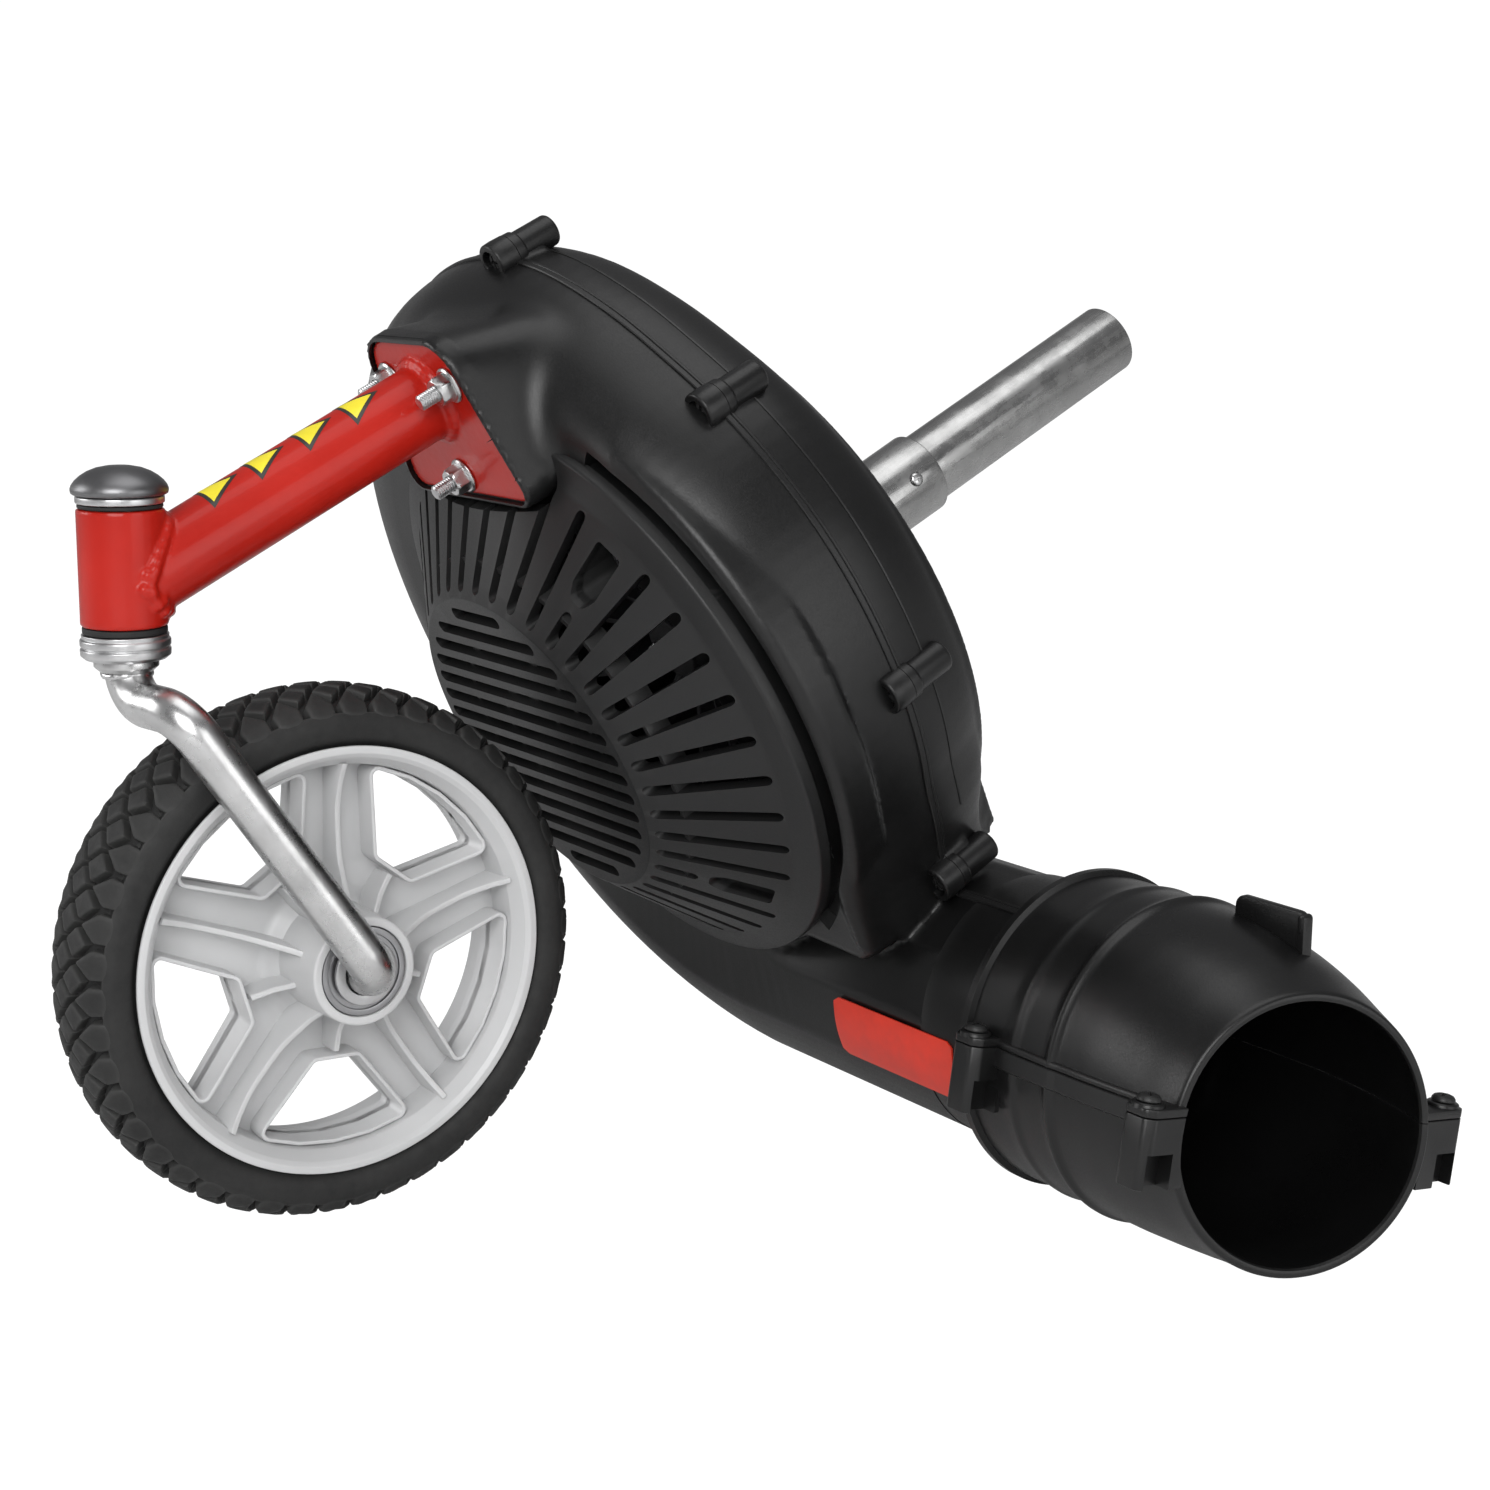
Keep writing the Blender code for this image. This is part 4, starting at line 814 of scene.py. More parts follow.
# ------------------------------------------------------------------ neck weldment
def smooth_mesh(ob, it, lam=0.5, mu=-0.52, mask=None):
    """Taubin smoothing on vertex positions: soft fillets without shrinking. mask(co) -> weights."""
    me = ob.data
    n = len(me.vertices)
    co = np.zeros(n * 3, np.float64)
    me.vertices.foreach_get('co', co)
    co = co.reshape(-1, 3)
    ed = np.zeros(len(me.edges) * 2, np.int64)
    me.edges.foreach_get('vertices', ed)
    ed = ed.reshape(-1, 2)
    deg = np.bincount(ed.ravel(), minlength=n).astype(float)
    deg[deg == 0] = 1
    wt = np.ones(n) if mask is None else mask(co)
    for k in range(it):
        for w in (lam, mu):
            if w == 0:
                continue
            acc = np.zeros_like(co)
            for c in range(3):
                acc[:, c] = (np.bincount(ed[:, 0], weights=co[ed[:, 1], c], minlength=n)
                             + np.bincount(ed[:, 1], weights=co[ed[:, 0], c], minlength=n))
            co = co + w * wt[:, None] * (acc / deg[:, None] - co)
    me.vertices.foreach_set('co', co.astype(np.float32).ravel())
    me.update()


NKM = FAN @ TR((0, 0, NECK_V))
headt = lathe('ht', rnd([(0, HEAD_Z0), (HEAD_R, HEAD_Z0, 0.6), (HEAD_R, HEAD_Z1, 0.6), (0, HEAD_Z1)], 3), 96, HM)
neck = lathe('nt', [(0, -199.5), (NECK_R, -199.5), (NECK_R, -61.4), (0, -61.4)], 96, NKM, 'Y')
plate = prism('pl', plate_outline(0), -63.0, -60.0, FAN)
BOLTS = [(-23.0, 149.0), (23.0, 149.0), (0.0, 109.2)]
# weld beads: where neck meets the head tube, and where it meets the plate
ax = (NKM.to_3x3() @ Vector((0, 1, 0))).normalized()
e1 = Vector((1, 0, 0))
e2 = ax.cross(e1).normalized()
O = NKM @ Vector((0, 0, 0))
path1, path2 = [], []
for i in range(121):
    t = 2 * PI * i / 120
    p0 = O + (e1 * math.cos(t) + e2 * math.sin(t)) * (NECK_R + 0.1)
    # walk along the axis to the head tube surface, taken on the far (rear) side
    dx, dy = p0.x, p0.y - HEAD_Y
    A = ax.y * ax.y
    B = 2 * dy * ax.y
    C = dx * dx + dy * dy - (HEAD_R + 0.1) ** 2
    disc = B * B - 4 * A * C
    if disc < 0:
        disc = 0.0
    u_ = (-B + math.sqrt(disc)) / (2 * A)
    path1.append(p0 + ax * u_)
    q0 = NKM @ Vector(((NECK_R + 0.3) * math.cos(t), -63.6, (NECK_R + 0.3) * math.sin(t)))
    path2.append(q0)


def weld(path, r0, seed, pitch):
    def rr(s, a):
        return r0 * (1 + 0.13 * abs(math.sin(PI * s / pitch)) + 0.34 * noise.noise(Vector((s * 0.13, math.cos(a) * 0.5, seed))))
    return sweep('weld', path, rr, 16)


w1 = weld(path1, 2.3, 2.0, 3.4)
w2 = weld(path2, 2.2, 5.0, 3.2)
lumps = []
for k in range(9):
    q = path1[(117 + k * 2) % 120] - ax * (1.0 + 1.6 * math.sin(k * 2.3)) + Vector((0.3 * math.sin(k), 0, 1.7 * math.cos(k * 1.9)))
    rk = 2.5 + 0.8 * math.sin(k * 3.1)
    lumps.append(lathe('lump', [(0, -rk)] + [(rk * math.cos(b), rk * math.sin(b)) for b in [math.radians(-75 + 15 * i) for i in range(11)]] + [(0, rk)], 20, TR(q)))
neck_j = join('neck_j', [headt, neck, plate, w1, w2] + lumps)
m = neck_j.modifiers.new('r', 'REMESH')
m.mode = 'VOXEL'
m.voxel_size = 0.75
take(neck_j, m)
smooth_mesh(neck_j, 7)
cut(neck_j, lathe('bore', [(0, 220.0), (11.5, 220.0), (11.5, 290.0), (0, 290.0)], 96, HM))
for bx, bz in BOLTS:
    cut(neck_j, lathe('bh', [(0, -70.0), (3.2, -70.0), (3.2, -50.0), (0, -50.0)], 32, FAN @ TR((bx, 0, bz)), 'Y'))
final(neck_j, 'neck_weldment', M_RED, 'head', ('neck_frame',), 36)


def wrapped(name, tri, rad, mat_):
    """Triangle given in (axial mm, round-the-tube mm), wrapped on the neck tube."""
    bm = bmesh.new()
    vs = [bm.verts.new((a, b, 0)) for a, b in tri]
    bm.faces.new(vs)
    bmesh.ops.triangulate(bm, faces=bm.faces)
    for _ in range(4):
        bmesh.ops.subdivide_edges(bm, edges=bm.edges, cuts=1, use_grid_fill=True)
    me = bpy.data.meshes.new(name)
    ret = bmesh.ops.extrude_face_region(bm, geom=list(bm.faces))
    up = [g for g in ret['geom'] if isinstance(g, bmesh.types.BMVert)]
    for v in up:
        v.co.z = 0.12
    for v in bm.verts:
        a, b, z = v.co
        t = b / NECK_R
        r = rad + z
        v.co = NKM @ Vector((r * math.sin(t), a, r * math.cos(t)))
    bmesh.ops.recalc_face_normals(bm, faces=bm.faces)
    bm.to_mesh(me)
    bm.free()
    o = bpy.data.objects.new(name, me)
    COLL.objects.link(o)
    return o


# plain triangles wrapped on the neck: yellow with a thin dark border, no symbol, one corner towards the housing
yel, ink = [], []
for a0, c0 in ((-159.6, 2.4), (-139.3, 2.7), (-118.3, 3.0), (-97.8, 4.0)):
    s3 = 18.4
    for lst, off, rad in ((ink, 0.0, NECK_R - 0.02), (yel, 1.45, NECK_R + 0.06)):
        h = s3 * 0.8660
        k = (h / 3 - off) / (h / 3)
        cx = a0 + h / 3
        tri = [(cx - h / 3 * k, c0 + s3 / 2 * k), (cx - h / 3 * k, c0 - s3 / 2 * k), (cx + 2 * h / 3 * k, c0)]
        lst.append(wrapped('t', tri, rad, None))
ob = join('yel', yel)
final(ob, 'neck_decals_yellow', M_YEL, 'head', (), 60)
ob = join('ink', ink)
final(ob, 'neck_decals_border', M_INK, 'head', (), 60)

# ------------------------------------------------------------------ studs and flange nuts
for i, (bx, bz) in enumerate(BOLTS):
    M = FAN @ TR((bx, 0, bz))
    prof = [(0, -77.5), (2.2, -77.5)]
    z = -77.1
    while z < -63.0:
        prof += [(2.95, z + 0.25), (2.95, z + 0.4), (2.5, z + 0.75), (2.5, z + 0.85)]
        z += 1.0
    prof += [(3.0, -62.5), (3.0, -44.6), (0, -44.6)]
    ob = lathe('stud', prof, 36, M, 'Y')
    final(ob, 'flange_stud_%d_v' % (i + 1), M_ZINC_SOFT, 'head', ('flange_stud_%d' % (i + 1),), 25)
    ob = hexnut('nut', 10.0, -70.0, -63.3, 3.2, M @ Matrix.Rotation(0.4 + i * 0.7, 4, 'Y'), 'Y', 0.9, flange=7.0)
    final(ob, 'flange_nut_%d_v' % (i + 1), M_ZINC, 'head', ('flange_nut_%d' % (i + 1),), 28)

# ------------------------------------------------------------------ fan housing
PHI = [-36, 0, 30, 60, 75, 90, 105, 120, 150, 180, 210, 240, 270]
PHV = [-45, -37.2, -30.2, -20] + PHI[1:]
ROUT = [131.5, 133.5, 137.5, 144.5, 152, 162, 170, 177, 186, 193, 199, 204, 208]
f_rout = pchip(PHV, [154.0, 142.4, 138.0, 133.3, 133.5, 137.5, 144.5, 153.5, 164.5, 172.5, 178, 186, 193, 199, 204, 208])
f_rs = pchip(PHV, [9, 10, 11, 12, 13, 17, 24, 29, 33, 36, 38, 41, 44, 47, 50, 53])
f_df = pchip(PHV, [44.5, 45, 45.5, 46, 46.5, 46.5, 46.5, 46.5, 46.5, 46.5, 45, 44, 44.5, 46, 50, 53])
f_dr = pchip(PHV, [24.0, 28.0, 33.0, 36.5, 37.6, 37.6, 37.6, 37.6, 37.6, 37.6, 37.6, 38, 40, 44, 49, 53])
f_n = pchip(PHV, [2.5, 2.5, 2.5, 2.5, 2.5, 2.5, 2.5, 2.5, 2.5, 2.45, 2.4, 2.2, 2.05, 2.0, 2.0, 2.0])


def section(rout, rs, df, dr, nq, n=2.0):
    re = rout - rs
    e = 2.0 / n
    pts = [(104.0, -42.6), (re - rs * 0.62, -max(df * 0.785, 42.6))]
    for k in range(nq + 1):
        t = PI / 2 * k / nq
        pts.append((re + rs * math.sin(t)**e, -df * max(0.0, math.cos(t))**e))
    for k in range(nq - 1, -1, -1):
        t = PI / 2 * k / nq
        pts.append((re + rs * math.sin(t), dr * math.cos(t)))
    pts += [(re - rs * 0.62, max(dr * 0.785, 37.6)), (104.0, 37.6)]
    return pts


def duct_section(r, nq):
    re = -DUCT_V
    pts = [(re + r * math.sin(math.radians(t)), -r * math.cos(math.radians(t))) for t in (-60, -30)]
    for k in range(nq + 1):
        a = PI / 2 * k / nq
        pts.append((re + r * math.sin(a), -r * math.cos(a)))
    for k in range(nq - 1, -1, -1):
        a = PI / 2 * k / nq
        pts.append((re + r * math.sin(a), r * math.cos(a)))
    pts += [(re + r * math.sin(math.radians(t)), r * math.cos(math.radians(t))) for t in (-30, -60)]
    return pts


def channel(name, nq, xs, step):
    secs = []
    ns = int(round(315 / step))
    for i in range(ns + 1):
        p = -45.0 + 315.0 * i / ns
        sec = section(f_rout(p), f_rs(p), f_df(p), f_dr(p), nq, f_n(p))
        a = math.radians(p)
        secs.append([(r * math.cos(a), y, r * math.sin(a)) for r, y in sec] + [(104.0 * math.cos(a), 0.0, 104.0 * math.sin(a))])
    end = section(208, 53, 53, 53, nq) + [(104.0, 0.0)]
    for x, r in xs:
        w = min(1.0, x / 45.0)
        w = w * w * (3 - 2 * w)
        full = duct_section(r, nq) + [(-DUCT_V - r, 0.0)]
        secs.append([(x, y0 * (1 - w) + y1 * w, -(r0 * (1 - w) + r1 * w)) for (r0, y0), (r1, y1) in zip(end, full)])
    return loft(name, secs, FAN)


def rays(poly, n=120, c=(0.0, 134.0)):
    """Resample a convex outline by rays from a middle point."""
    out = []
    m = len(poly)
    for k in range(n):
        a = 2 * PI * k / n
        dx, dy = math.cos(a), math.sin(a)
        best = None
        for i in range(m):
            x0, y0 = poly[i][0] - c[0], poly[i][1] - c[1]
            x1, y1 = poly[(i + 1) % m][0] - c[0], poly[(i + 1) % m][1] - c[1]
            ex, ey = x1 - x0, y1 - y0
            den = dx * ey - dy * ex
            if abs(den) < 1e-12:
                continue
            t = (x0 * ey - y0 * ex) / den
            u = (x0 * dy - y0 * dx) / den
            if t > 0 and -1e-6 <= u <= 1 + 1e-6:
                best = t if best is None else max(best, t)
        out.append((c[0] + dx * best, c[1] + dy * best))
    return out


def arc_ring(name, r0, r1, a0, a1, p0, p1, step=3.0, ch=0.0):
    """Part ring of rectangular section between two angles."""
    secs = []
    n = int((p1 - p0) / step)
    for i in range(n + 1):
        t = math.radians(p0 + (p1 - p0) * i / n)
        cs = rnd([(r0, a0, ch), (r1, a0, ch), (r1, a1), (r0, a1)], 4)
        secs.append([(r * math.cos(t), a, r * math.sin(t)) for r, a in cs])
    return loft(name, secs, FAN)


# the straight duct is round to its end; a beaded spigot goes into the nozzle
chan = channel('chan', 16, [(8, DUCT_R), (16, DUCT_R), (24, DUCT_R), (32, DUCT_R), (40, DUCT_R), (48, DUCT_R), (90, DUCT_R), (130, DUCT_R)], 3.0)
drum = lathe('drum', rnd([(0, DRUM_A0), (DRUM_R, DRUM_A0, 2.0), (DRUM_R, DRUM_A1, 3.0), (0, DRUM_A1)], 4), 160, FAN, 'Y')
lip = arc_ring('lip', 124.0, 135.0, -42.5, -26.0, -44.0, 60.0, 3.0, 4.0)
wedge = prism('wedge', rnd([(96, -20), (112.0, -24, 8), (113.0, -60), (106.0, -86), (106.5, -107, 4), (98, -112, 4), (58, -110, 4),
                            (70, -60)], 4), -43.0, 24.0, FAN, ch=4.0)
HOOD = [(-64.6, 2.3, 0.0), (-58.0, 2.7, 0.3), (-52.0, 3.4, 2.0), (-45.0, 4.3, 5.0), (-35.0, 5.6, 9.0), (-20.0, 7.0, 13.0)]
hood = loft('hood', [[(x, a, v) for x, v in rays(hull([(-17, 150 - dz, 15 + g), (17, 150 - dz, 15 + g), (-37, 107.0, 6 + g), (37, 107.0, 6 + g)], 48))]
                     for a, g, dz in HOOD], FAN)
SCREWS = []
for ph, extra in ((95.0, 5.0), (52.0, -1.0), (-1.0, -1.0), (160.0, -1.0), (263.0, 2.0)):
    rr = float(np.interp(ph, PHI, ROUT)) + extra
    SCREWS.append((rr * math.cos(math.radians(ph)), rr * math.sin(math.radians(ph)), math.radians(ph)))
SCREWS.append((114.0, -93.5, math.radians(-38)))
for x in (28.0, 86.0):
    SCREWS.append((x, DUCT_V - DUCT_R - 4.5, math.radians(-90)))
solids = [chan, drum, lip, wedge, hood]
for sx, sz, ang in SCREWS:
    # soft pedestal joining each boss to the wall, so that the remesh makes its fillets
    d = Vector((math.cos(ang), math.sin(ang)))
    t = Vector((-d.y, d.x))
    poly = [(sx + d.x * 1.0 + t.x * 5.0, sz + d.y * 1.0 + t.y * 5.0), (sx - d.x * 11 + t.x * 8.0, sz - d.y * 11 + t.y * 8.0),
            (sx - d.x * 11 - t.x * 8.0, sz - d.y * 11 - t.y * 8.0), (sx + d.x * 1.0 - t.x * 5.0, sz + d.y * 1.0 - t.y * 5.0)]
    solids.append(prism('ped', poly, -3.0, 13.0, FAN, ch=1.5))
body = join('body', solids)
m = body.modifiers.new('r', 'REMESH')
m.mode = 'VOXEL'
m.voxel_size = 1.35
take(body, m)
fan_inv = FAN.inverted()
FI = np.array(fan_inv)


def hood_mask(co):
    """Weights for the soft fillet between the hood and the drum face, in the fan frame."""
    p = co @ FI[:3, :3].T + FI[:3, 3]
    a, v = p[:, 1], p[:, 2]
    w = np.clip((a + 57.5) / 5.0, 0, 1) * np.clip((-10.0 - a) / 10.0, 0, 1)
    w *= np.clip((v - 96.0) / 10.0, 0, 1) * np.clip((74.0 - np.abs(p[:, 0])) / 10.0, 0, 1)
    return w


smooth_mesh(body, 12)
smooth_mesh(body, 105, 0.5, 0, hood_mask)
# clean mating pocket for the neck plate
cut(body, prism('pocket', plate_outline(0.55), -90.0, -59.8, FAN))
# groove round the grille's edge
cut(body, arc_ring('groove', 122.5, 129.8, -62.0, -37.0, -50.0, 61.0))
cut(body, arc_ring('groove', 122.5, 128.5, -62.0, -38.0, 119.0, 150.0))


def bisect(ob, a, keep_rear):
    bm = bmesh.new()
    bm.from_mesh(ob.data)
    bmesh.ops.bisect_plane(bm, geom=bm.verts[:] + bm.edges[:] + bm.faces[:], plane_co=FAN @ Vector((0, a, 0)),
                           plane_no=(FAN.to_3x3() @ Vector((0, 1, 0))), clear_inner=keep_rear, clear_outer=not keep_rear)
    bm.to_mesh(ob.data)
    bm.free()
    return ob


def copy_obj(ob, name):
    o = bpy.data.objects.new(name, ob.data.copy())
    COLL.objects.link(o)
    return o


def drop_faces(ob, test):
    """Delete faces whose middle, in the fan frame, passes test."""
    bm = bmesh.new()
    bm.from_mesh(ob.data)
    gone = [f for f in bm.faces if test(fan_inv @ f.calc_center_median())]
    bmesh.ops.delete(bm, geom=gone, context='FACES')
    bm.to_mesh(ob.data)
    bm.free()


def solidify(ob, t):
    m = ob.modifiers.new('s', 'SOLIDIFY')
    m.thickness = t
    m.offset = -1.0
    m.use_even_offset = False
    m.use_rim = True
    take(ob, m)


# open the duct end before the halves are parted; only the duct is touched
def in_duct(p):
    q = fan_inv @ p
    return q.x > 121.0 and q.z < -97.0


bm = bmesh.new()
bm.from_mesh(body.data)
gv = set(v for v in bm.verts if in_duct(v.co))
ge = [e for e in bm.edges if e.verts[0] in gv and e.verts[1] in gv]
gf = [f for f in bm.faces if all(v in gv for v in f.verts)]
bmesh.ops.bisect_plane(bm, geom=list(gv) + ge + gf, plane_co=(128.0, 0, 0), plane_no=(1, 0, 0), clear_outer=True)
bm.to_mesh(body.data)
bm.free()
half_f = bisect(copy_obj(body, 'half_f'), -0.15, False)
half_r = bisect(body, 0.15, True)
drop_faces(half_f, lambda p: p.y < -39.5 and math.hypot(p.x, p.z) < 78.0)
drop_faces(half_r, lambda p: p.y > 34.5 and math.hypot(p.x, p.z) < 27.5)
for h in (half_f, half_r):
    solidify(h, 2.6)


def half_duct(front):
    """Straight duct from the cut to its end with the spigot bead, as a half shell."""
    xs = [(127.6, DUCT_R - 0.35), (133.0, DUCT_R), (150, DUCT_R), (DUCT_END - 10, DUCT_R), (DUCT_END - 9.3, DUCT_R + 1.0), (DUCT_END - 8.6, DUCT_R + 1.4), (DUCT_END - 6.8, DUCT_R + 1.4),
          (DUCT_END - 6.1, DUCT_R + 1.0), (DUCT_END - 5.4, DUCT_R), (DUCT_END - 0.6, DUCT_R), (DUCT_END, DUCT_R - 0.7)]
    ring_out = [(x, r) for x, r in xs] + [(DUCT_END, DUCT_R - 2.6), (127.6, DUCT_R - 2.6)]
    secs = []
    g = math.degrees(0.15 / DUCT_R)
    for k in range(61):
        t = math.radians(g + (180 - 2 * g) * k / 60)
        s_ = -1 if front else 1
        secs.append([(x, s_ * r * math.sin(t), DUCT_V + r * math.cos(t)) for x, r in ring_out])
    return loft('dh', secs, FAN)


def ridge(a0, a1, h, name):
    """Raised strip along the parting line of the casing and duct, between two offsets along the fan axis."""
    out = []
    secs = []
    for i in range(205):
        p = -38.0 + 308.0 * i / 204
        r = f_rout(p)
        a = math.radians(p)
        cs = [(r - 1.6, a0), (r + h - 0.35, a0), (r + h, a0 + math.copysign(0.35, a1 - a0)), (r + h, a1 - math.copysign(0.35, a1 - a0)),
              (r + h - 0.35, a1), (r - 1.6, a1)]
        secs.append([(q * math.cos(a), y, q * math.sin(a)) for q, y in cs])
    for x in (40, 80, 120, 165):
        r = 208.0
        cs = [(r - 1.6, a0), (r + h - 0.35, a0), (r + h, a0 + math.copysign(0.35, a1 - a0)), (r + h, a1 - math.copysign(0.35, a1 - a0)),
              (r + h - 0.35, a1), (r - 1.6, a1)]
        secs.append([(x, y, -q) for q, y in cs])
    out.append(loft(name, secs, FAN))
    secs = []
    for x in (108, 130, 150, 165.2):
        r = -DUCT_V - DUCT_R
        cs = [(r + 1.6, a0), (r - h + 0.35, a0), (r - h, a0 + math.copysign(0.35, a1 - a0)), (r - h, a1 - math.copysign(0.35, a1 - a0)),
              (r - h + 0.35, a1), (r + 1.6, a1)]
        secs.append([(x, y, -q) for q, y in cs])
    out.append(loft(name, secs, FAN))
    return out


fparts = [half_f, half_duct(True)] + ridge(-2.5, -0.15, 0.95, 'rf')
rparts = [half_r, half_duct(False)] + ridge(0.15, 1.6, 0.5, 'rr')
# faint second line on the rear half
secs = []
for i in range(190):
    p = -30.0 + 232.0 * i / 189
    a = math.radians(p)
    rs_, ro_, dr_, n_ = f_rs(p), f_rout(p), f_dr(p), f_n(p)
    rr = ro_ - rs_ + rs_ * math.sqrt(max(0.0, 1 - (13.0 / dr_)**2))
    cs = [(rr - 0.8, 12.6), (rr + 0.28, 12.7), (rr + 0.28, 13.4), (rr - 0.9, 13.6)]
    secs.append([(q * math.cos(a), y, q * math.sin(a)) for q, y in cs])
rparts.append(loft('line2', secs, FAN))
for si, (sx, sz, ang) in enumerate(SCREWS):
    M = FAN @ TR((sx, 0, sz))
    fb = lathe('fb', rnd([(5.0, -9.0, 0.3), (7.6, -9.0, 0.9), (7.8, -5.0), (7.6, -0.15), (2.7, -0.15), (2.7, -4.6), (5.0, -4.6)], 4), 44, M, 'Y')
    rb = lathe('rb', rnd([(0, 0.15), (7.5, 0.15), (7.3, 3.6, 0.5), (6.5, 4.6, 0.4), (6.3, 21.0, 1.8), (0, 21.0)], 4), 44, M, 'Y')
    fparts.append(fb)
    rparts.append(rb)
front = join('front_j', fparts)
rear = join('rear_j', rparts)
final(front, 'volute_front', M_BLACK, 'head', ('housing_front',), 34)
final(rear, 'volute_rear', M_BLACK, 'head', ('housing_rear',), 34)


def panhead(name, M, axis, z0, z1, rh, shank_to, rs, n=40, recess=True):
    """Pan head screw, head from z0 (outer) to z1 (seat), cross recess in the head."""
    sg = 1 if z1 > z0 else -1
    h = abs(z1 - z0)
    prof = [(0, z0), (rh * 0.55, z0 + sg * 0.06 * h), (rh * 0.82, z0 + sg * 0.25 * h), (rh * 0.97, z0 + sg * 0.6 * h), (rh, z0 + sg * 0.85 * h), (rh, z1),
            (rs, z1), (rs, shank_to), (0, shank_to)]
    ob = lathe(name, prof, n, M, axis)
    if recess:
        w, l = rh * 0.14, rh * 0.62
        cross = [(w, w), (w, l), (-w, l), (-w, w), (-l, w), (-l, -w), (-w, -w), (-w, -l), (w, -l), (w, -w), (l, -w), (l, w)]
        cut(ob, prism('c', cross, z0 - sg * 1.0, z0 + sg * h * 0.55, M, 'XZ' if axis == 'Y' else 'XY'))
        if len(ob.data.polygons) < 60:
            bpy.data.objects.remove(ob, do_unlink=True)
            ob = lathe(name, prof, n, M, axis)
    return ob


for i, (sx, sz, ang) in enumerate(SCREWS):
    ob = panhead('s', FAN @ TR((sx, 0, sz)) @ Matrix.Rotation(0.5 * i, 4, 'Y'), 'Y', -7.8, -4.9, 4.5, 15.5, 2.3)
    final(ob, 'housing_screw_%d_v' % (i + 1), M_BLACK_SCREW, 'head', ('housing_screw_%d' % (i + 1),), 30)

# ------------------------------------------------------------------ intake grille
GB = DRUM_A0 - 1.3
Gp = [(0, PANEL_A), (PANEL_R + 0.8, PANEL_A, 1.2), (PANEL_R + 6.4, PANEL_A + 3.6, 3.0), (113.0, -53.0, 10.0),
      (GRILLE_R, -49.4, 1.6), (GRILLE_R, GB), (GRILLE_R - 3.0, GB), (GRILLE_R - 3.0, -46.6),
      (111.0, -49.0), (PANEL_R + 3.4, PANEL_A + 8.0), (PANEL_R - 1.0, PANEL_A + 4.2), (0, PANEL_A + 4.2)]
gr = lathe('g', rnd(Gp, 5), SLOTS * 6, FAN, 'Y', math.radians(-SLOT_PHASE))


def stadium(r0, r1, w, n=8):
    """Slot outline, rounded at both ends."""
    pts = []
    for k in range(n + 1):
        a = -PI / 2 + PI * k / n
        pts.append((r1 - w + w * math.cos(a), w * math.sin(a)))
    for k in range(n + 1):
        a = PI / 2 + PI * k / n
        pts.append((r0 + w + w * math.cos(a), w * math.sin(a)))
    return pts


cutters = []
POCK = (5, -5, 15, -15)
for k in range(SLOTS):
    kk = k if k <= 19 else k - SLOTS
    a = math.radians(SLOT_PHASE + 360.0 / SLOTS * kk)
    M = FAN @ Matrix.Rotation(-a, 4, 'Y')
    if kk in POCK:
        cutters.append(prism('s', stadium(PANEL_R + 3.0, 83.5, 2.3, 6), PANEL_A - 8, -44.0, M, 'XZ'))
        sq = rnd([(108.0, -6.2, 1.6), (108.0, 6.2, 1.6), (92.0, 6.0, 3.0), (87.0, 3.2, 3.0), (87.0, -3.2, 3.0), (92.0, -6.0, 3.0)], 5)
        cutters.append(prism('p', sq, PANEL_A - 8, -44.0, M, 'XZ'))
    else:
        cutters.append(prism('s', stadium(PANEL_R + 3.0, 112.0, 2.3, 6), PANEL_A - 8, -44.0, M, 'XZ'))
cut(gr, join('slots', cutters))
bars = []
for k in range(14):
    v = -58.5 + 9.0 * k
    hl = math.sqrt((PANEL_R - 2.4) ** 2 - (abs(v) + 2.4) ** 2) - 0.4
    w = 2.55
    pts_ = []
    for q in range(9):
        a = -PI / 2 + PI * q / 8
        pts_.append((hl - w + w * math.cos(a), v + w * math.sin(a)))
    for q in range(9):
        a = PI / 2 + PI * q / 8
        pts_.append((-hl + w + w * math.cos(a), v + w * math.sin(a)))
    bars.append(prism('b', pts_, PANEL_A - 6, PANEL_A + 9, FAN))
cut(gr, join('bars', bars))
cut(gr, prism('notch', plate_outline(5.4), -95.0, -40.0, FAN))
gparts = [gr]
# blade roots behind the bars
for k in range(13):
    v = -54.0 + 9.0 * k
    hl = math.sqrt((PANEL_R - 3.0) ** 2 - v * v) - 0.5
    gparts.append(prism('bl', [(-hl, v - 1.5), (hl, v - 1.5), (hl, v + 1.5), (-hl, v + 1.5)], PANEL_A + 3.6, PANEL_A + 8.5, FAN))
